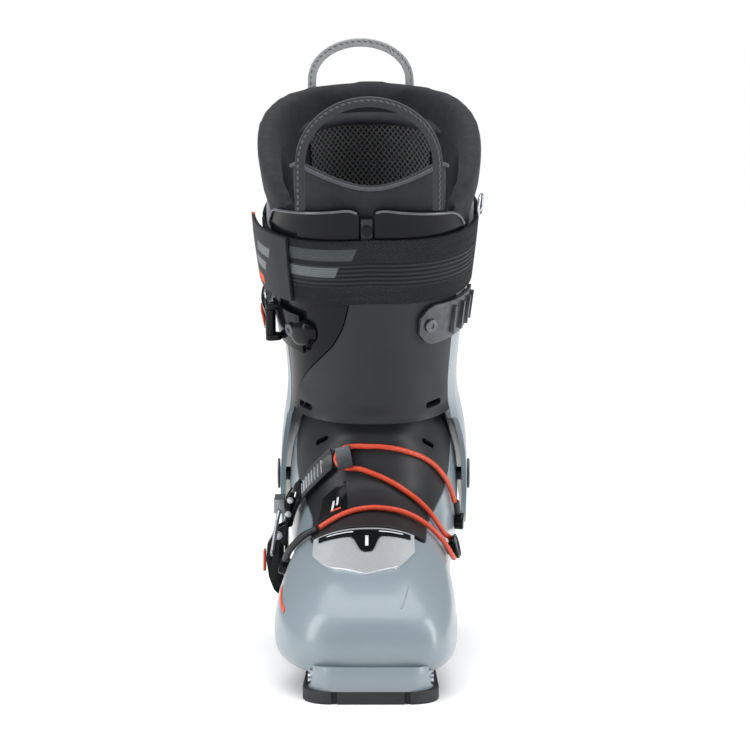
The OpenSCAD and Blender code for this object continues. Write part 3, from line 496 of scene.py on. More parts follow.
softshell = knit_fabric("softshell_fabric", "#232426", "#2f3033", 0.9, 0.1)
LINER_V = [2, 2.3, 3, 4, 5, 6, 7, 8, 9, 10, 11, 12, 13, 14, 14.7]
sock = cage("liner_foot_visual", [[shell_lifted(v, shell_u(v, j), 5.2, lift(v))
                                   for j in range(SHELL_COLS)]
                                  for v in LINER_V], ring=True, cap=True)
make_up(sock, softshell, 6.5, 1.5, "shell", "liner_fabric", "liner_foot")

# ---- Tongue of the shell
# A flexible moulded nylon panel that closes the instep under the cable and slides under the cuff. Two
# slots near its top let a strap through.


def panel_nylon():
    """Glass-filled nylon with a spark-eroded grain: satin near-black grey, soft broad highlights."""
    mat = new_material("matte_grained_nylon")
    place = add(mat, "TexCoord")
    worn = add(mat, "TexNoise", {"Vector": place.outputs["Object"], "Scale": 60, "Detail": 6,
                                 "Roughness": 0.7})
    dull = add(mat, "MapRange", {"Value": worn.outputs[0], "From Min": 0.3, "From Max": 0.7,
                                 "To Min": 0.4, "To Max": 0.52})
    return surface(mat, Base_Color=clouded(mat, "#1c1d1f", "#252629", 40), Roughness=dull.outputs[0],
                   Normal=grain(mat, 0.7, 0.035), Specular_IOR_Level=0.3)


def settle(piece):
    """Applies a piece's modifiers to its mesh."""
    bpy.context.view_layer.update()
    shaped = bpy.data.meshes.new_from_object(piece.evaluated_get(bpy.context.evaluated_depsgraph_get()))
    piece.modifiers.clear()
    piece.data = shaped
    return piece


def cut_slot(piece, at, out, along, long_mm, wide_mm):
    """Cuts a slot with round ends through a piece at a point, square to its surface."""
    out = out.normalized()
    side = (along - out * along.dot(out)).normalized()
    turn = Matrix((side, out.cross(side), out)).transposed().to_4x4()
    reach, r = (long_mm - wide_mm) / 2, wide_mm / 2
    ring = [(s * reach + r * math.cos(math.radians(a)), r * math.sin(math.radians(a)))
            for s, start in ((1, -90), (-1, 90)) for a in range(start, start + 181, 20)]
    count = len(ring)
    mesh = bpy.data.meshes.new("cutter")
    mesh.from_pydata([Vector((x, y, z)) * MM for z in (-9, 9) for x, y in ring], [],
                     [tuple(range(count - 1, -1, -1)), tuple(range(count, 2 * count))]
                     + [(k, (k + 1) % count, count + (k + 1) % count, count + k) for k in range(count)])
    cutter = bpy.data.objects.new("cutter", mesh)
    bpy.context.collection.objects.link(cutter)
    cutter.matrix_world = Matrix.Translation(at) @ turn
    cut = piece.modifiers.new("cut", "BOOLEAN")
    cut.object, cut.operation, cut.solver = cutter, "DIFFERENCE", "EXACT"
    settle(piece)
    bpy.data.objects.remove(cutter)


def outward(pt, a, u, inset=0.0):
    """Point, outward direction and sideways direction of a surface function at (a, u)."""
    here = pt(a, u, inset)
    side = pt(a, u + 1, inset) - pt(a, u - 1, inset)
    up = pt(a + 0.05, u, inset) - pt(a - 0.05, u, inset)
    return here, side.cross(up).normalized(), side.normalized()


nylon = panel_nylon()
TONGUE_CLEAR = 1.3  # degrees between the tongue and the edge of the opening
TONGUE_V = [5.36, 5.6, 6, 6.5, 7, 7.6, 8.2, 9, 9.6, 10.2, 10.8, 11.2, 11.6, 12, 12.5, 13, 13.6, 14.2,
            14.8]


def tongue_swell(v, s):
    """The soft ridge across the top of the tongue and its thick rim below, in millimetres."""
    ridge = 1.3 * math.exp(-((v - 11.0 + 0.4 * s * s) / 0.5) ** 2) * (1 - smooth(abs(s), 0.55, 0.85))
    return 0.6 + ridge + 0.7 * (1 - smooth(v, 5.5, 5.8))


tongue = cage("tongue_visual", [[shell_pt(v, s * (tongue_half(v) - TONGUE_CLEAR), -tongue_swell(v, s))
                                 for s in spread(-1, 1, 22)] for v in TONGUE_V])
tongue.data.materials.append(nylon)
thicken(tongue, 3.2, 0.7, levels=2)
settle(tongue)
for v, u in ((11.45, -34), (11.45, 38)):
    at, out, side = outward(shell_pt, v, u)
    cut_slot(tongue, at, out, side, 11, 3.2)
belongs(tongue, "shell", "panel_plastic", "tongue")

# ---- Instep plate and its inlay
# A satin silver cover, moulded and painted, closes the lower end of the tongue. A glossy black inlay
# with two pale lines sits in its middle.


def silver_paint():
    """Metallic lacquer on a moulding: fine flakes under a satin clear coat."""
    mat = new_material("silver_lacquer")
    place = add(mat, "TexCoord")
    flake = add(mat, "TexVoronoi", {"Vector": place.outputs["Object"], "Scale": 1600})
    tint = add(mat, "Mix", {0: flake.outputs[0], 6: to_linear("#c3c8cd"), 7: to_linear("#dfe3e6")},
               data_type="RGBA")
    return surface(mat, Base_Color=tint.outputs[2], Metallic=0.55, Roughness=0.3, Coat_Weight=0.5,
                   Coat_Roughness=0.12, Normal=grain(mat, 4, 0.01, 1))


def gloss_black():
    """Polished black polyamide: deep and wet, with hairline scuffs that only dull the reflection."""
    mat = new_material("polished_black_nylon")
    place = add(mat, "TexCoord")
    scuff = add(mat, "TexNoise", {"Vector": place.outputs["Object"], "Scale": 120, "Detail": 9,
                                  "Roughness": 0.75})
    dull = add(mat, "MapRange", {"Value": scuff.outputs[0], "From Min": 0.35, "From Max": 0.8,
                                 "To Min": 0.14, "To Max": 0.3})
    return surface(mat, Base_Color=clouded(mat, "#0b0c0e", "#141518", 25), Roughness=dull.outputs[0],
                   Specular_IOR_Level=0.14)


def patch(pt, low, high, left, right, rows, cols, inset):
    """Points of a surface between low(u) and high(u), and between left(h) and right(h)."""
    grid = []
    for t in spread(0, 1, rows):
        line = []
        for s in spread(0, 1, cols):
            u0 = lerp(left(0), right(0), s)
            h = lerp(low(u0), high(u0), t)
            line.append(pt(h, lerp(left(h), right(h), s), inset))
        grid.append(line)
    return grid


def always(value):
    return lambda _: value


silver = silver_paint()
glossy = gloss_black()


def plate_low(u):
    return between(u, [(-34, 4.5), (-26, 3.75), (-3, 3.2), (18, 3.65), (28, 4.5)])


plate = cage("instep_plate_visual", patch(shell_pt, plate_low, always(5.22), always(-34), always(28), 8,
                                          18, -2.2))
make_up(plate, silver, 2.0, 0.8, "shell", "silver_plate", "instep_plate", levels=2)


def badge_low(u):
    return between(u, [(-30, 4.9), (-10, 4.83), (-6, 4.2), (1.5, 4.2), (5, 4.83), (25, 4.9)])


badge = cage("instep_badge_visual", patch(shell_pt, badge_low, always(5.08), always(-30), always(25), 6,
                                          26, -3.2))
make_up(badge, glossy, 0.8, 0.25, "shell", "black_plastic", "instep_badge")
pale_ink = new_material("pale_pad_print")
surface(pale_ink, Base_Color=clouded(pale_ink, "#c9cdd0", "#dfe2e4", 4), Roughness=0.45,
        Normal=grain(pale_ink, 1, 0.01))
for low, high, left, right in ((4.97, 5.01, -25, -10), (4.97, 5.01, 5, 20), (4.4, 4.8, -3.2, -1.4)):
    stroke = cage("inlay_line", patch(shell_pt, always(low), always(high), always(left), always(right), 2,
                                      10, -3.3))
    make_up(stroke, pale_ink, 0.1, 0, "shell", "silver_plate")


def tongue_pt(v, u, inset):
    return shell_pt(v, u, inset - tongue_swell(v, u / (tongue_half(v) - TONGUE_CLEAR)))


sheen_panel = cage("tongue_gloss_panel", patch(tongue_pt, always(6.05), lambda u: 8.6 + 0.02 * u,
                                               always(-36),
                                               lambda h: -15 - 1.2 * (h - 6), 10, 10, -0.35))
make_up(sheen_panel, glossy, 0.5, 0.15, "shell", "black_plastic")
amber_ink = new_material("orange_pad_print")
surface(amber_ink, Base_Color=clouded(amber_ink, "#c8401f", "#dd5530", 4), Roughness=0.42,
        Normal=grain(amber_ink, 1, 0.01))
for ink, low, high, left, right in ((pale_ink, 6.6, 7.25, -27, -25.4), (pale_ink, 6.85, 7.4, -24, -22.6),
                                    (amber_ink, 6.5, 6.62, -27, -20)):
    mark = cage("tongue_tick", patch(tongue_pt, always(low), always(high), always(left), always(right), 4,
                                     3, -0.45))
    make_up(mark, ink, 0.1, 0, "shell", "silver_plate")
accent = cage("side_accent", patch(shell_pt, always(3.5), always(4.75), lambda v: -68.5 + 2 * (v - 3.5),
                                   lambda v: -65 + 2 * (v - 3.5), 10, 3, -0.1))
make_up(accent, amber_ink, 0.15, 0, "shell", "red_plastic")

# ---- Lace cable
# A steel cable in an orange nylon coat, 3 mm thick. It runs from a black shrink sleeve on the inner side
# over the instep, round the hook, round a pulley, over the toes and into a second sleeve.

CABLE_ROUTE = [(49, -93.5, 88), (47, -99.5, 95), (41, -112.5, 107.5), (33.5, -120.5, 115.5),
               (21, -129, 122),
               (8, -132.5, 125), (-3, -133, 125.5), (-10, -132.5, 125.5), (-16.5, -131.5, 124),
               (-20, -132, 120),
               (-19.5, -133.5, 116), (-15, -136, 113.5), (-7, -137, 113), (-0.5, -138, 111),
               (10, -138.5, 106.5),
               (20, -140, 100.5), (30.5, -140.5, 92), (38, -140, 82.5), (42.5, -138, 75.5),
               (45.4, -133, 72.5),
               (46.4, -128.6, 69), (47.3, -128.3, 65), (48.1, -132, 61.2), (47.7, -138.5, 61.5),
               (47, -146, 63.5),
               (44, -153.5, 69.5), (40, -158.5, 76), (32, -161, 84), (21, -161.5, 90.5),
               (8.5, -161, 93.5),
               (-4, -161, 93.5), (-15, -164, 91), (-24, -169, 87), (-29.3, -171.6, 83.8)]
OUTER_SLEEVE = [(-30.4, -172, 83.2), (-37.5, -170, 79.5), (-43, -164.5, 74), (-47, -157, 68),
                (-49, -150, 62.5)]
INNER_SLEEVE = [(50, -93.5, 88), (50.5, -90.5, 84.5), (51, -87.5, 81)]


def tube(name, points, radius, closed=False, steps=6, sides=4, radii=None):
    """A round wire through points in millimetres, as a mesh with its length along the UV map's U."""
    curve = bpy.data.curves.new(name, "CURVE")
    curve.dimensions, curve.resolution_u = "3D", steps
    curve.bevel_depth, curve.bevel_resolution, curve.use_fill_caps = radius * MM, sides, not closed
    line = curve.splines.new("BEZIER")
    line.bezier_points.add(len(points) - 1)
    line.use_cyclic_u = closed
    for i, (knot, p) in enumerate(zip(line.bezier_points, points)):
        knot.co = Vector(p) * MM
        knot.handle_left_type = knot.handle_right_type = "AUTO"
        knot.radius = radii[i] if radii else 1
    made = bpy.data.objects.new(name, curve)
    bpy.context.collection.objects.link(made)
    bpy.context.view_layer.update()
    mesh = bpy.data.meshes.new_from_object(made)
    bpy.data.objects.remove(made)
    made = bpy.data.objects.new(name, mesh)
    bpy.context.collection.objects.link(made)
    for face in mesh.polygons:
        face.use_smooth = True
    return made


def nylon_coat():
    """Extruded nylon over steel strands: satin orange, with the strands just showing as a fine relief."""
    mat = new_material("orange_nylon_coat")
    place = add(mat, "TexCoord")
    lay = add(mat, "TexWave", {"Vector": place.outputs["Object"], "Scale": 160, "Distortion": 1.5,
                               "Detail": 2},
              bands_direction="DIAGONAL")
    relief = add(mat, "Bump", {"Height": lay.outputs["Fac"], "Distance": 0.0002, "Strength": 0.6})
    return surface(mat, Base_Color=clouded(mat, "#b8351a", "#cf4828", 9), Roughness=0.42,
                   Normal=relief.outputs[0],
                   Coat_Weight=0.15, Coat_Roughness=0.3)


def shrink_sleeve():
    """Polyolefin heat-shrink tube: black, satin, and slightly wrinkled where it shrank."""
    mat = new_material("shrink_sleeve")
    return surface(mat, Base_Color=clouded(mat, "#101113", "#1c1d20", 6), Roughness=0.45,
                   Normal=grain(mat, 1.2, 0.15))


cable = tube("cable_visual", CABLE_ROUTE, 1.5, steps=8)
cable.data.materials.append(nylon_coat())
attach(cable, "shell")
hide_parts("lace_cable")
sleeve_black = shrink_sleeve()
for name, route in (("outer_sleeve", OUTER_SLEEVE), ("inner_sleeve", INNER_SLEEVE)):
    sleeve = tube(name, route, 2.05, radii=[0.9] + [1] * (len(route) - 1))
    sleeve.data.materials.append(sleeve_black)
    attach(sleeve, "shell")
    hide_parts("cable_sleeves")

# ---- Moulded line
# A fine raised bead of the shell's own plastic runs down the inner side of the toe.

bead = tube("toe_bead", [shell_pt(v, 23 + 1.1 * v, -0.05) / MM for v in spread(1.7, 4.3, 14)], 0.4,
            steps=3)
bead.data.materials.append(blue_grey)
belongs(bead, "shell", "shell_plastic")

# ---- Cable hook, pulley and anchors
# The cable turns round a steel-shafted hook on the end of the ladder strap and round a black pulley with
# a steel rim. Two black caps riveted to the shell hold its ends.

eased("cable_anchors", "shell", "black_plastic", 0.8, glossy)
eased("cable_pulley", "shell", "black_plastic", 0.5, glossy)
eased("ladder_hook", "shell", "steel", 0.4,
      bright_steel("brushed_zinc_alloy", "#3a3c40", "#4f5256", 0.36))
at, out, side = outward(shell_pt, 7.3, 68, -6.9)
up = out.cross(side)
rim = tube("pulley_rim", [(at + (side * math.cos(a) + up * math.sin(a)) * 0.0062) / MM
                          for a in CLOCK], 0.55, closed=True, steps=4)
rim.data.materials.append(dark_steel)
belongs(rim, "shell", "steel")

# ---- Ladder strap
# A toothed strap of satin nylon runs from the hook round the outer side to the lower buckle. Its teeth
# are moulded across it, and a raised edge runs down each side.

LADDER = [(9.85, -26, 0.66), (9.5, -38, 0.66), (9.35, -50, 0.55), (9.25, -60, 0.41), (9.05, -70, 0.38)]


def closed_form(piece, merge_mm=0):
    """Joins points closer than merge_mm, fills open edges and turns the faces outward."""
    work = bmesh.new()
    work.from_mesh(piece.data)
    if merge_mm:
        bmesh.ops.remove_doubles(work, verts=work.verts, dist=merge_mm * MM)
    bmesh.ops.holes_fill(work, edges=[e for e in work.edges if e.is_boundary])
    bmesh.ops.recalc_face_normals(work, faces=work.faces)
    work.to_mesh(piece.data)
    work.free()


def strap_nylon():
    """Unfilled nylon with a fine moulded grain: satin slate grey."""
    mat = new_material("satin_strap_nylon")
    return surface(mat, Base_Color=clouded(mat, "#2c2f32", "#393c40", 8), Roughness=0.38,
                   Normal=grain(mat, 0.8, 0.03),
                   Specular_IOR_Level=0.4)


def ladder_at(t):
    return row_at(LADDER, t * (len(LADDER) - 1))


LADDER_SECTION = [(-1, -4.6), (-0.88, -5.9), (-0.74, -5.9), (-0.66, -4.2), (0, -4.2), (0.66, -4.2),
                  (0.74, -5.9),
                  (0.88, -5.9), (1, -4.6)]
strap_grey = strap_nylon()
rungs = []
for t in spread(0, 1, 32):
    v, u, half = ladder_at(t)
    rungs.append([shell_pt(v + w * half, u, rise) for w, rise in LADDER_SECTION])
ladder = cage("ladder_strap_visual", rungs)
make_up(ladder, strap_grey, 1.9, 0.3, "shell", "ladder_plastic", "ladder_strap")
teeth, tooth_faces = [], []
for k in range(16):
    v, u, half = ladder_at(0.16 + k * 0.05)
    first = len(teeth)
    for w in (-0.62, 0.62):
        for du, rise in ((-0.9, -4.0), (-0.7, -5.3), (0.2, -5.5), (1.0, -4.0)):
            teeth.append(shell_pt(v + w * half, u + du, rise))
    tooth_faces += [tuple(first + k for k in face) for face in
                    ((0, 1, 5, 4), (1, 2, 6, 5), (2, 3, 7, 6), (3, 0, 4, 7), (3, 2, 1, 0), (4, 5, 6, 7))]
mesh = bpy.data.meshes.new("ladder_teeth")
mesh.from_pydata(teeth, [], tooth_faces)
rack_teeth = bpy.data.objects.new("ladder_teeth", mesh)
bpy.context.collection.objects.link(rack_teeth)
closed_form(rack_teeth)
rack_teeth.data.materials.append(bright_steel("worn_tooth_metal", "#8b8f94", "#aeb3b8", 0.3))
edge = rack_teeth.modifiers.new("edge", "BEVEL")
edge.width, edge.segments = 0.2 * MM, 2
belongs(rack_teeth, "shell", "steel")

frame_rows = []
for t in spread(0.5, 1, 14):
    v, u, half = ladder_at(t)
    wide = half + 0.2 * smooth(t, 0.5, 0.62)
    frame_rows.append([shell_pt(v + w * wide, u, -6.4 - 0.9 * (1 - w * w)) for w in spread(-1, 1, 6)])
buckle_frame = cage("buckle_frame", frame_rows)
make_up(buckle_frame, glossy, 1.6, 0.5, "shell", "black_plastic")
for t in (0.6, 0.74, 0.9):
    v, u, _ = ladder_at(t)
    at, out, side = outward(shell_pt, v - 0.12, u, -7.2)
    up = out.cross(side)
    dome = [[at + (side * math.cos(a) + up * math.sin(a)) * r * MM + out * rise * MM
             for a in CLOCK] for r, rise in ((2.2, 0), (2.2, 0.5), (1.6, 1.0), (0.5, 1.1))]
    head = cage("frame_rivet", dome, ring=True, cap=True)
    closed_form(head)
    head.data.materials.append(steel)
    belongs(head, "shell", "steel")

# ---- Lower buckle
# A black polyamide base riveted to the outer side, a lever that turns on a steel pin, its red clip, and
# a wire bail whose knurled block drops into the ladder's teeth.

eased("lower_buckle_base", "shell", "black_plastic", 0.6, glossy)
eased("lower_buckle_pin", "shell", "steel", 0.2, steel)
eased("buckle_rivets", "shell", "steel", 0.3, steel)
eased("lower_lever", "lower_lever", "black_plastic", 0.7, glossy)


def red_nylon():
    """Pigmented nylon, lightly polished: a saturated orange-red."""
    mat = new_material("red_nylon")
    return surface(mat, Base_Color=clouded(mat, "#b8301b", "#cf4327", 7), Roughness=0.32,
                   Normal=grain(mat, 1.2, 0.02),
                   Coat_Weight=0.2, Coat_Roughness=0.15)


red = red_nylon()
eased("lower_lever_clip", "lower_lever", "red_plastic", 0.5, red)
eased("lower_bail", "lower_bail", "steel", 0.35, bright_steel("zinc_wire", "#7b7e83", "#9ea2a7", 0.3))

# ---- Ankle pivot
# A steel bolt through each side of shell and cuff lets the cuff turn. Its low head is turned and satin.

eased("pivot_bolts", "shell", "steel", 0.5, dark_steel)

# ---- Cuff, rear half
# The leg half of the boot: a glossy blue-grey moulding, 3 mm thick, that wraps the calf and reaches
# down to the pivot on each side.

# height, reach in front and behind, half-widths outside and inside, roundness in front and behind
CUFF_ROWS = [
    (-30, 50, 57.5, 50.5, 53.5, 3.2, 2.6), (0, 58, 66, 51, 54, 3.4, 2.6),
    (30, 60, 66, 49.5, 53, 3.2, 2.4),
    (60, 61.8, 62, 46, 47.5, 2.5, 2.2), (90, 61, 60, 48, 49, 2.4, 2.2), (120, 62, 61, 53, 52.5, 2.4, 2.2),
    (150, 65, 64, 57, 56, 2.4, 2.3), (190, 68, 68, 60, 59, 2.4, 2.3), (225, 70, 66, 64, 60, 2.4, 2.4)]
PIVOT = Vector((-57, 100))
LEAN = math.radians(14)
SHIN = Vector((-math.sin(LEAN), math.cos(LEAN)))
AHEAD = Vector((-math.cos(LEAN), -math.sin(LEAN)))


def cuff_pt(h, u, inset=0.0):
    v = next((i + (h - a[0]) / (b[0] - a[0]) for i,
              (a, b) in enumerate(zip(CUFF_ROWS, CUFF_ROWS[1:])) if h <= b[0]),
             len(CUFF_ROWS) - 1)
    _, front, back, w_out, w_in, n_front, n_back = row_at(CUFF_ROWS, max(0, v))
    middle = PIVOT + SHIN * h
    return section(middle - AHEAD * back, middle + AHEAD * front, w_out, w_in, back / (front + back),
                   n_back, n_front,
                   u, inset)


def rear_low(u):
    return between(u, [(57, 50), (66, 46), (73, -10), (84, -30), (97, -28), (125, -8), (150, 4), (180, 7),
                       (210, 4),
                        (235, -8), (263, -28), (276, -30), (284, -10), (289, 46), (293, 50)])


def rear_high(u):
    return between(u, [(57, 137), (75, 150), (95, 165), (140, 190), (180, 194), (220, 190), (265, 165),
                       (285, 150),
                       (293, 137)])


REAR_U = spread(57, 89, 16) + spread(89, 261, 30)[1:] + spread(261, 293, 16)[1:]
calf = cage("cuff_rear_visual", [[cuff_pt(lerp(rear_low(u), rear_high(u), t), u, -3) for u in REAR_U]
                                 for t in spread(0, 1, 22)])
calf.data.materials.append(blue_grey)
thicken(calf, 3, 0.7, levels=1)
settle(calf)
for z in (109, 124, 139):
    cut_slot(calf, Vector((0, 0.004 if z < 130 else 0.0, z * MM)), Vector((0, 1, 0)), Vector((0, 0, 1)),
             24, 17)
belongs(calf, "cuff", "shell_plastic", "cuff_rear")

# ---- Cuff, front panel and flap
# A matte grained panel closes the front of the leg and overlaps a polished black flap on the outer side.
# A narrow tab in the middle carries the rivet of the two upper wings, and two slots sit near its foot.


def flap_edge(h):
    return between(h, [(56, -54), (70, -54), (82, -44), (102, -23), (114, -16), (129, -12), (137, -11)])


PANEL_H = [56, 59, 62, 66, 70, 76, 82, 87, 92, 97, 102, 108, 114, 122, 129, 137, 148, 159, 170, 181]


def panel_flare(h):
    """The foot of the panel turns out a little over the tongue and swells above its edge."""
    return 0.9 * (1 - smooth(h, 56, 60)) + 0.8 * math.exp(-((h - 68) / 5) ** 2)


panel = cage("cuff_front_visual",
             [[cuff_pt(h, u, -3 - panel_flare(h))
               for u in spread(flap_edge(h), -5.2, 12) + spread(0.8, 56, 15)]
              for h in PANEL_H], keep=lambda i, j: PANEL_H[i] < 137 or j == 12)
panel.data.materials.append(nylon)
thicken(panel, 3, 0.6, levels=2)
settle(panel)
for h, u in ((61, -46), (63.5, 42)):
    at, out, side = outward(cuff_pt, h, u)
    cut_slot(panel, at, out, side, 13, 4)
belongs(panel, "cuff", "panel_plastic", "cuff_front")
flap = cage("cuff_flap_visual", patch(cuff_pt, always(56), always(137), always(-66.4),
                                      lambda h: flap_edge(h) - 0.6,
                                      22, 12, -2.7))
make_up(flap, glossy, 2.7, 0.5, "cuff", "black_plastic", "cuff_flap")

# ---- Wings
# Two polished black wings riveted to the panel's tab lie across the shin under the strap and spread the
# pull of the strap. Their upper edges are rolled outward; a pale grey tube along each rolled edge is a
# painted highlight.


def wing_high_left(u):
    return between(u, [(-65, 166), (-60, 174), (-56, 179), (-40, 182), (-12, 187), (-8, 186.4),
                       (-6, 184.5)])


def wing_high_right(u):
    return between(u, [(1, 184.5), (3, 186.4), (7, 187), (44, 181), (50, 177), (56, 168)])


# Painted highlight: a pale grey glossy material for the tube along each wing's upper edge, in place of the
# reflection on the rolled lip.
lip_highlight_paint = new_material("painted_highlight_on_lip")
surface(lip_highlight_paint, Base_Color=clouded(lip_highlight_paint, "#45484b", "#5e6164", 6), Roughness=0.2,
        Normal=grain(lip_highlight_paint, 2, 0.01))


def wing(name, high, left, right):
    grid = []
    for t in spread(0, 1, 12):
        grid.append([cuff_pt(lerp(140, high(u), t), u, -3 - 1.1 * smooth(t, 0.86, 1))
                     for u in spread(left, right, 16)])
    made = cage(name + "_visual", grid)
    make_up(made, glossy, 2.6, 0.9, "cuff", "black_plastic", name, levels=2)


wing("left_wing", wing_high_left, -65, -6.2)
wing("right_wing", wing_high_right, 1.8, 56)
eased("wing_rivet", "cuff", "steel", 0.3, glossy)
# A pale grey tube along each wing's upper edge: a painted highlight on the rolled lip.
for name, high, left, right in (("left", wing_high_left, -63, -7), ("right", wing_high_right, 2.6, 54)):
    lip = tube(name + "_wing_lip_highlight_tube", [cuff_pt(high(u) - 0.5, u, -4.6) / MM
                                    for u in spread(left, right, 18)], 0.75, steps=3)
    lip.data.materials.append(lip_highlight_paint)
    belongs(lip, "cuff", "black_plastic")

# ---- Upper rack and buckle
# A satin zinc rack with four teeth is screwed to the inner side. On the outer side the buckle's base is
# screwed on, and its lever, red clip and wire bail turn on a steel pin.


def cast_zinc():
    """Die-cast zinc with a dark conversion coat: satin charcoal, brighter where it is rubbed."""
    mat = new_material("dark_cast_zinc")
    place = add(mat, "TexCoord")
    rubbed = add(mat, "TexNoise", {"Vector": place.outputs["Object"], "Scale": 260, "Detail": 6})
    tint = add(mat, "Mix", {0: rubbed.outputs[0], 6: to_linear("#2e3033"), 7: to_linear("#5a5d61")},
               data_type="RGBA")
    return surface(mat, Base_Color=tint.outputs[2], Metallic=0.5, Roughness=0.36,
                   Normal=grain(mat, 0.7, 0.05))


zinc = cast_zinc()
eased("ladder_rack", "cuff", "steel", 0.8, zinc)
eased("cuff_screws", "cuff", "steel", 0.3, dark_steel)
eased("upper_buckle_base", "cuff", "black_plastic", 0.9, glossy)
SHROUD_H, SHROUD_U = 106.5, -43
shroud_rows = []
for t in spread(0, 1, 10):
    a = 2 * t - 1
    half_u = 9.5 * (1 - 0.9 * abs(a) ** 3)
    shroud_rows.append([cuff_pt(SHROUD_H + 9 * a + 0.25 * (u + 42), u,
                                -3.6 - 4.2 * (1 - a ** 4) * max(0, 1 - ((u - SHROUD_U) / half_u) ** 4) ** 0.6)
                        for u in spread(SHROUD_U - half_u, SHROUD_U + half_u, 12)])
shroud = cage("buckle_shroud", shroud_rows)
make_up(shroud, glossy, 1.0, 0.2, "cuff", "black_plastic")
dress("upper_buckle_pin", steel)
eased("upper_lever", "upper_lever", "black_plastic", 0.8, glossy)
eased("upper_lever_clip", "upper_lever", "red_plastic", 0.5, red)
eased("upper_bail", "upper_bail", "steel", 0.1, bright_steel("bright_wire", "#8f9398", "#b5b9be", 0.25),
      angle=80)

# ---- Liner of the leg
# The padded collar of the inner boot: thick foam between a smooth outer face and a lined inner face,
# rolled over at the top. Its inside has a diamond-mesh back panel under a stitched roll, and a pad on
# each side.


def collar_from(u):
    return between(u, [(50, 187), (56, 181), (66, 172), (75, 167), (95, 168), (140, 191), (180, 195),
                       (220, 191),
                       (265, 168), (285, 167), (294, 172), (304, 182), (310, 187)])


def collar(h, u):
    return between(h - collar_from(u), [(-100, 0.8), (1, 0.8), (14, -3), (40, -4.2)])


def liner_low(u):
    return between(u, [(50, 78), (90, 70), (120, 44), (150, 39), (180, 38), (210, 39), (240, 44),
                       (270, 70), (310, 78)])


def liner_high(u):
    return between(u, [(50, 182), (62, 194), (76, 203), (90, 210), (110, 217), (130, 222), (180, 225),
                       (230, 222),
                       (250, 217), (270, 210), (284, 203), (298, 194), (310, 182)])


LINER_WALL = 6.5
LINER_T = [0, 0.12, 0.24, 0.36, 0.48, 0.58, 0.68, 0.76, 0.83, 0.89, 0.94, 0.98]
LINER_U = spread(50, 310, 46)


def half_turn():
    """Cosine and sine of each step over the rounded rim, from the wall's outer face to its inner face."""
    return [(math.cos(a), math.sin(a)) for a in (math.radians(k) for k in range(0, 181, 30))]


def collar_profile(u):
    """The wall's outline at angle u: up the outer face, over the rim, down the inner face."""
    low, high = liner_low(u), liner_high(u)
    half = (LINER_WALL + 0.8 - collar(high, u)) / 2
    outer = [lerp(low, high - half, t) for t in LINER_T]
    line = [(h, collar(h, u)) for h in outer]
    middle = collar(high - half, u) + half
    line += [(high - half + half * s, middle - half * c) for c, s in half_turn()[:-1]]
    line += [(h, LINER_WALL + 0.8) for h in reversed(outer)]
    return [cuff_pt(h, u, inset) for h, inset in line]


profiles = [collar_profile(u) for u in LINER_U]
rings = [list(row) for row in zip(*profiles)]
leg = cage("liner_cuff_visual", rings + [rings[0]])
closed_form(leg, 0.02)
leg.data.materials.append(softshell)


AIR_PRESSURE = 4


def finish_pad(piece):
    """One live subdivision over a pad."""
    rounded = piece.modifiers.new("rounded", "SUBSURF")
    rounded.levels = rounded.render_levels = 1
    for face in piece.data.polygons:
        face.use_smooth = True
    return piece


def puff(piece, cap_mm, voxel_mm):
    """Fills a pad with air by cloth simulation; no point moves further than cap_mm."""
    remesh = piece.modifiers.new("even", "REMESH")
    remesh.mode, remesh.voxel_size = "VOXEL", voxel_mm * MM
    settle(piece)
    start = [v.co.copy() for v in piece.data.vertices]
    cloth = piece.modifiers.new("cloth", "CLOTH")
    cloth.settings.use_pressure, cloth.settings.uniform_pressure_force = True, AIR_PRESSURE
    cloth.settings.effector_weights.gravity = 0
    for step in range(1, 21):
        bpy.context.scene.frame_set(step)
    settle(piece)
    bpy.context.scene.frame_set(1)
    for vert, home in zip(piece.data.vertices, start):
        move = vert.co - home
        if move.length > cap_mm * MM:
            vert.co = home + move.normalized() * cap_mm * MM
    return piece


puff(leg, 0.6, voxel_mm=3.4)
finish_pad(leg)
belongs(leg, "cuff", "liner_fabric", "liner_cuff")


def spacer_mesh():
    """Knitted spacer mesh: a pale diamond net over a black ground, holes about 3 mm across."""
    mat = new_material("diamond_spacer_mesh")
    cloth = add(mat, "UVMap", uv_map="cloth")
    split = add(mat, "SeparateXYZ", {0: cloth.outputs[0]})
    lines = []
    for way in (1, -1):
        run = add(mat, "Math", {0: split.outputs[1], 1: way * 0.8}, operation="MULTIPLY")
        slant = add(mat, "Math", {0: split.outputs[0], 1: run.outputs[0]}, operation="ADD")
        turns = add(mat, "Math", {0: slant.outputs[0], 1: math.pi / 0.0032}, operation="MULTIPLY")
        wave = add(mat, "Math", {0: turns.outputs[0]}, operation="SINE")
        lines.append(add(mat, "Math", {0: wave.outputs[0]}, operation="ABSOLUTE").outputs[0])
    net = add(mat, "Math", {0: lines[0], 1: lines[1]}, operation="MINIMUM")
    strand = add(mat, "MapRange", {0: net.outputs[0], 1: 0.15, 2: 0.45, 3: 1.0, 4: 0.0})
    tint = add(mat, "Mix", {0: strand.outputs[0], 6: to_linear("#0c0c0e"), 7: to_linear("#75777b")},
               data_type="RGBA")
    relief = add(mat, "Bump", {"Height": strand.outputs[0], "Distance": 0.0008, "Strength": 1})
    return surface(mat, Base_Color=tint.outputs[2], Roughness=0.75, Normal=relief.outputs[0],
                   Sheen_Weight=0.2)


def flat_uv(grid):
    """Each grid point's distance along its row and its column, in metres."""
    rows = []
    for i, line in enumerate(grid):
        along, out = 0.0, []
        for j, p in enumerate(line):
            along += (p - line[j - 1]).length if j else 0
            up = sum((grid[k + 1][j] - grid[k][j]).length for k in range(i))
            out.append((along, up))
        rows.append(out)
    return rows


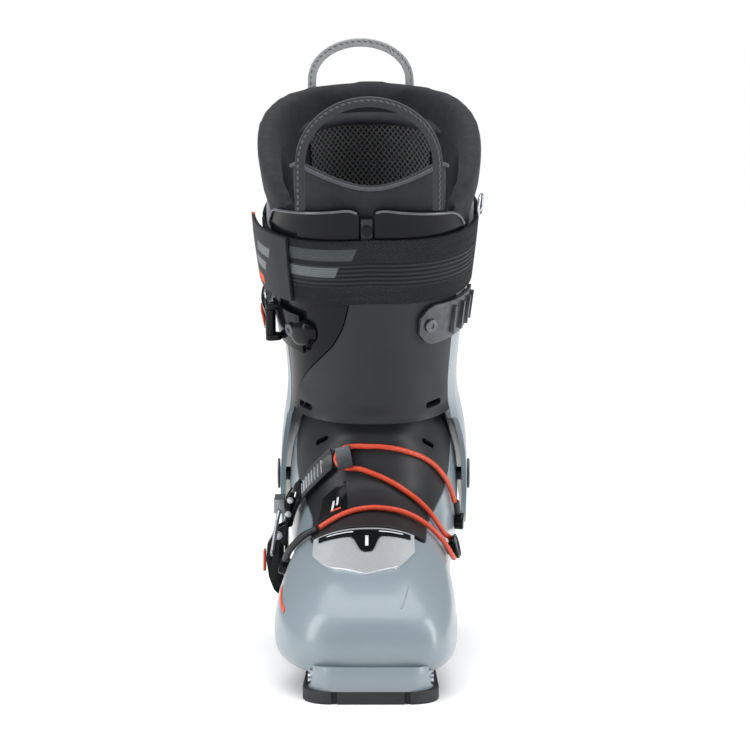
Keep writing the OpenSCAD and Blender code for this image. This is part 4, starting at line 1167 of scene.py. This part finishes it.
back_net = [[cuff_pt(h, u, LINER_WALL + 0.8 + 1.6) for u in spread(222, 138, 24)]
            for h in spread(120, 200, 16)]
net = cage("back_mesh_panel", back_net, uv=flat_uv(back_net))
make_up(net, spacer_mesh(), 0.6, 0, "cuff", "liner_fabric")
lining = knit_fabric("brushed_collar_lining", "#18191b", "#222326", 1.0, 0.1)
pad_roll = tube("back_roll", [cuff_pt(203 - 3.5 * ((u - 180) / 48) ** 2, u, LINER_WALL + 0.2) / MM
                              for u in spread(130, 230, 20)], 4.2, steps=3, sides=6,
                radii=[0.35] + [0.8] + [1] * 17 + [0.8] + [0.35])
pad_roll.data.materials.append(knit_fabric("roll_fabric", "#34353a", "#45464b"))
belongs(pad_roll, "cuff", "liner_fabric")
for name, u0, u1 in (("inner_side_pad", 96, 128), ("outer_side_pad", 232, 264)):
    grid = []
    for t in spread(0, 1, 10):
        grid.append([cuff_pt(lerp(135, 199, t), u,
                             LINER_WALL + 0.4 + 4.0 * (1 - (2 * s - 1) ** 4) * (1 - (2 * t - 1) ** 6))
                     for s, u in zip(spread(0, 1, 8), spread(u1, u0, 8))])
    pad = cage(name, grid)
    make_up(pad, lining, 1.2, 0, "cuff", "liner_fabric")

# ---- Liner ankle
# A thin stretch-knit gusset joins the foot and the leg of the liner round the back of the ankle.

GUSSET_ROW, GUSSET_INSET = 14.3, 8.2
gusset_grid = []
for t in spread(0, 1, 14):
    line = []
    for u in spread(62, 298, 40):
        foot_edge, leg_edge = shell_pt(GUSSET_ROW, u, GUSSET_INSET), cuff_pt(liner_low(u) + 5, u, 4.2)
        line.append(foot_edge.lerp(leg_edge, t))
    gusset_grid.append(line)
gusset = cage("liner_gusset", gusset_grid)
gusset.data.materials.append(lining)
thicken(gusset, 1.6, 0.3, levels=1)
settle(gusset)
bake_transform(gusset)

# ---- Liner tongue
# A padded tongue of smooth laminated fabric in front of the shin. Its upper edge dips in the middle and
# is bound with a stitched piping.


SHIN_FOOT = 68


def tongue_top(u):
    return 199 + 12 * smooth(abs(u), 0, 50)


def tongue_profile(u):
    side = 1 - 0.5 * smooth(abs(u), 36, 47)
    high = tongue_top(u) - 5 * smooth(abs(u), 41, 47) ** 2
    line = [(lerp(SHIN_FOOT, high - 3, t), 1) for t in spread(0, 1, 14)]
    line += [(high - 3 + 3.2 * s, 4.2 - 3.2 * c) for c, s in half_turn()[1:-1]]
    line += [(lerp(high - 3, SHIN_FOOT, t), 1 + LINER_WALL) for t in spread(0, 1, 14)]
    return [cuff_pt(h, u, 4.25 + (inset - 4.25) * side) for h, inset in line]


rings = [list(row) for row in zip(*[tongue_profile(u) for u in spread(-47, 47, 22)])]
shin_pad = cage("liner_tongue_visual", rings + [rings[0]])
closed_form(shin_pad, 0.02)
shin_pad.data.materials.append(softshell)
finish_pad(shin_pad)
belongs(shin_pad, "cuff", "liner_fabric", "liner_tongue")
piping = tube("tongue_piping", [cuff_pt(tongue_top(u) - 1.2 - 5 * smooth(abs(u), 41, 47) ** 2, u,
                                        1.6) / MM
                                for u in spread(-45, 45, 24)], 1.1, steps=3)
piping.data.materials.append(knit_fabric("piping_fabric", "#3f4044", "#56575c", 0.8, 0.08))
belongs(piping, "cuff", "liner_fabric")

# ---- Power strap
# An elastic webbing strap 39 mm wide round the top of the cuff, held by hook-and-loop. Its free end on
# the outer side is a bonded fabric tab with printed blocks; a steel ring hangs at the inner side.

STRAP_W = 39


def strap_low(u):
    return between(u % 360, [(0, 130), (90, 127), (180, 130), (270, 122), (360, 130)])


# start and end along the cloth, low and high edge across it, in metres, then the slope and the colour
STRAP_PRINTS = [(0.040, 0.083, 0.0275, 0.0345, "#5a6060"), (0.030, 0.077, 0.0175, 0.0235, "#6c7271")]
TAB_PRINTS = [(0.010, 0.034, 0.023, 0.029, 0.5, "#646a6a"), (0.005, 0.030, 0.0135, 0.019, 0.5, "#6e7474"),
              (0.010, 0.029, 0.003, 0.008, 0, "#dd4a2a"), (-0.001, 0.0035, 0.030, 0.041, 0, "#dd4a2a")]


def print_mask(mat, along, across, start, end, low, high, slope, soft):
    """One where a slanted block is printed and nought elsewhere, with an edge soft metres wide."""
    lean = add(mat, "Math", {0: across, 1: slope}, operation="MULTIPLY")
    at = add(mat, "Math", {0: along, 1: lean.outputs[0]}, operation="SUBTRACT").outputs[0]
    mask = None
    for source, edge, rises in ((at, start, 1.0), (at, end, 0.0), (across, low, 1.0),
                                (across, high, 0.0)):
        side = add(mat, "MapRange", {0: source, 1: edge - soft, 2: edge + soft, 3: 1.0 - rises,
                                     4: rises}).outputs[0]
        mask = add(mat, "Math", {0: mask, 1: side}, operation="MULTIPLY").outputs[0] if mask else side
    return mask


def strap_webbing():
    """Woven polyester with elastic ribs: herringbone bands, raised ribs, slanted pale prints."""
    mat = new_material("ribbed_elastic_webbing")
    cloth = add(mat, "UVMap", uv_map="cloth")
    split = add(mat, "SeparateXYZ", {0: cloth.outputs[0]})
    along, across = split.outputs[0], split.outputs[1]
    middle_up = add(mat, "MapRange", {0: across, 1: 0.0105, 2: 0.0115, 3: 0.0, 4: 1.0})
    middle_down = add(mat, "MapRange", {0: across, 1: 0.0255, 2: 0.0265, 3: 1.0, 4: 0.0})
    middle = add(mat, "Math", {0: middle_up.outputs[0], 1: middle_down.outputs[0]}, operation="MULTIPLY")
    rib_turn = add(mat, "Math", {0: across, 1: 2 * math.pi / 0.0026}, operation="MULTIPLY")
    rib = add(mat, "Math", {0: rib_turn.outputs[0]}, operation="SINE")
    fold = add(mat, "Math", {0: across, 1: 0.0026}, operation="PINGPONG")
    slant = add(mat, "Math", {0: along, 1: fold.outputs[0]}, operation="ADD")
    twill_turn = add(mat, "Math", {0: slant.outputs[0], 1: 2 * math.pi / 0.0013}, operation="MULTIPLY")
    twill = add(mat, "Math", {0: twill_turn.outputs[0]}, operation="SINE")
    height = add(mat, "Mix", {0: middle.outputs[0], 2: twill.outputs[0], 3: rib.outputs[0]})
    relief = add(mat, "Bump", {"Height": height.outputs[0], "Distance": 0.0007, "Strength": 1.0})
    raised = add(mat, "MapRange", {0: height.outputs[0], 1: -1.0, 2: 1.0, 3: 0.0, 4: 1.0})
    ground = add(mat, "Mix", {0: raised.outputs[0], 6: to_linear("#0d0e11"), 7: to_linear("#2f3438")},
                 data_type="RGBA")
    colour = ground.outputs[2]
    for start, end, low, high, tint in STRAP_PRINTS:
        mask = print_mask(mat, along, across, start, end, low, high, 0.55, 0.0003)
        ink = add(mat, "Math", {0: mask, 1: 0.92}, operation="MULTIPLY")
        mixed = add(mat, "Mix", {0: ink.outputs[0], 6: colour, 7: to_linear(tint)}, data_type="RGBA")
        colour = mixed.outputs[2]
    return surface(mat, Base_Color=colour, Roughness=0.7, Normal=relief.outputs[0],
                   Specular_IOR_Level=0.22)


STRAP_U = spread(-90, 266, 96)
band = [[cuff_pt(strap_low(u) + t * STRAP_W, u, -5.6) for u in STRAP_U] for t in spread(0, 1, 6)]
strap = cage("power_strap_visual", band, uv=flat_uv(band))
make_up(strap, strap_webbing(), 2.2, 0.5, "cuff", "webbing", "power_strap")


def tab_fabric():
    """Bonded nylon fabric with pad prints: charcoal, two slanted pale blocks, orange block and tip."""
    mat = new_material("printed_tab_fabric")
    cloth = add(mat, "UVMap", uv_map="cloth")
    split = add(mat, "SeparateXYZ", {0: cloth.outputs[0]})
    along, across = split.outputs[0], split.outputs[1]
    place = add(mat, "TexCoord")
    weave = add(mat, "TexVoronoi", {"Vector": place.outputs["Object"], "Scale": 1100})
    relief = add(mat, "Bump", {"Height": weave.outputs[0], "Distance": 0.0002, "Strength": 0.7})
    ground = add(mat, "Mix", {0: weave.outputs[0], 6: to_linear("#1b1c1e"), 7: to_linear("#292b2e")},
                 data_type="RGBA")
    colour = ground.outputs[2]
    for start, end, low, high, slope, tint in TAB_PRINTS:
        mask = print_mask(mat, along, across, start, end, low, high, slope, 0.0002)
        mixed = add(mat, "Mix", {0: mask, 6: colour, 7: to_linear(tint)}, data_type="RGBA")
        colour = mixed.outputs[2]
    return surface(mat, Base_Color=colour, Roughness=0.6, Normal=relief.outputs[0],
                   Specular_IOR_Level=0.25)


tab_grid = [[cuff_pt(strap_low(360 + u) + 0.5 + t * STRAP_W, u, -5.9 - 2.2 - 4 * (1 - s) ** 2)
             for s, u in zip(spread(0, 1, 12), spread(-94, -44, 12))] for t in spread(0, 1, 6)]
tab = cage("strap_tab_visual", tab_grid, uv=flat_uv(tab_grid))
make_up(tab, tab_fabric(), 2.0, 0.5, "cuff", "webbing", "strap_tab")
at, out, side = outward(cuff_pt, 177, 68, -7.4)
up = out.cross(side)
ring = tube("strap_ring_visual", [(at + side * math.cos(a) * 0.0053 + up * math.sin(a) * 0.0056) / MM
                                  for a in CLOCK], 1.0, closed=True, steps=5)
ring.data.materials.append(steel)
belongs(ring, "cuff", "steel", "strap_ring")

# ---- Pull loops
# Folded loops of woven tape sewn to the liner: a dark one on the tongue and a pale one behind.


def tape(name, ground, thread):
    """Plain-woven polyester tape with a stitched border: a square weave, a dashed line at the edge."""
    mat = new_material(name)
    cloth = add(mat, "UVMap", uv_map="cloth")
    split = add(mat, "SeparateXYZ", {0: cloth.outputs[0]})
    waves = []
    for source in (split.outputs[0], split.outputs[1]):
        turns = add(mat, "Math", {0: source, 1: 2 * math.pi / 0.0009}, operation="MULTIPLY")
        waves.append(add(mat, "Math", {0: turns.outputs[0]}, operation="SINE").outputs[0])
    weave = add(mat, "Math", {0: waves[0], 1: waves[1]}, operation="MULTIPLY")
    away = add(mat, "Math", {0: split.outputs[1], 1: 0.0016}, operation="SUBTRACT")
    near = add(mat, "Math", {0: away.outputs[0]}, operation="ABSOLUTE")
    line = add(mat, "MapRange", {0: near.outputs[0], 1: 0.0004, 2: 0.0006, 3: 1.0, 4: 0.0})
    gaps = add(mat, "Math", {0: split.outputs[0], 1: 2 * math.pi / 0.0036}, operation="MULTIPLY")
    dash = add(mat, "Math", {0: gaps.outputs[0]}, operation="SINE")
    on = add(mat, "MapRange", {0: dash.outputs[0], 1: -0.3, 2: -0.1, 3: 0.0, 4: 1.0})
    stitch = add(mat, "Math", {0: line.outputs[0], 1: on.outputs[0]}, operation="MULTIPLY")
    shade = add(mat, "MapRange", {0: weave.outputs[0], 1: -1.0, 2: 1.0, 3: 0.0, 4: 1.0})
    base = add(mat, "Mix", {0: shade.outputs[0], 6: to_linear(ground[0]), 7: to_linear(ground[1])},
               data_type="RGBA")
    tint = add(mat, "Mix", {0: stitch.outputs[0], 6: base.outputs[2], 7: to_linear(thread)},
               data_type="RGBA")
    both = add(mat, "Math", {0: weave.outputs[0], 1: stitch.outputs[0]}, operation="ADD")
    relief = add(mat, "Bump", {"Height": both.outputs[0], "Distance": 0.0003, "Strength": 0.8})
    return surface(mat, Base_Color=tint.outputs[2], Roughness=0.75, Normal=relief.outputs[0],
                   Sheen_Weight=0.15)


def pull_loop(name, node, foot, half_width, rise, leg, band_mm, thick, finish):
    """Tape bent into an arch whose legs run down the shin line from the foot point."""
    foot = foot / MM
    up = Vector((0, SHIN.x, SHIN.y))
    out = Vector((0, AHEAD.x, AHEAD.y))
    path = [(-half_width, -leg)] + [(-half_width, -leg * k / 3) for k in (2, 1)]
    path += [(-half_width * math.cos(a), rise * math.sin(a))
             for a in (math.radians(k) for k in range(0, 181, 10))]
    path += [(half_width, -leg * k / 3) for k in (1, 2, 3)]
    grid = [[], []]
    for i, (x, z) in enumerate(path):
        (x0, z0), (x1, z1) = path[max(0, i - 1)], path[min(len(path) - 1, i + 1)]
        run = Vector((x1 - x0, z1 - z0)).normalized()
        for row, side in zip(grid, (0, band_mm)):
            row.append((foot + Vector((1, 0, 0)) * (x + run.y * side) + up * (z - run.x * side)
                        + out * thick / 2) * MM)
    made = cage(name, grid, uv=flat_uv(grid))
    make_up(made, finish, thick, 0.35, "cuff", "webbing", node)


pull_loop("front_loop_visual", "front_loop", cuff_pt(215, -1, -2), 41.5, 39, 27, 5.6, 2.4,
          tape("dark_woven_tape", ("#131416", "#242629"), "#55585b"))
pull_loop("rear_loop_visual", "rear_loop", cuff_pt(224, 185, -6.6), 31.5, 25, 14, 5, 2.2,
          tape("pale_woven_tape", ("#8f9294", "#b9bcbe"), "#6a6c6e"))

# ---- Walk lock
# A steel catch on the heel, a forked steel bar that drops over it, and the black lever and bracket at
# the back of the cuff that lift the bar for walking.

eased("heel_catch", "shell", "steel", 0.5, dark_steel)
eased("walk_bracket", "cuff", "panel_plastic", 0.7, nylon)
dress("walk_lever_pin", steel)
dress("lock_bar_pin", steel)
eased("walk_lever", "walk_lever", "panel_plastic", 0.8, nylon)
eased("lock_bar", "lock_bar", "steel", 0.5, bright_steel("forged_bar_steel", "#94989d", "#b9bdc2", 0.3))

low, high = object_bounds()
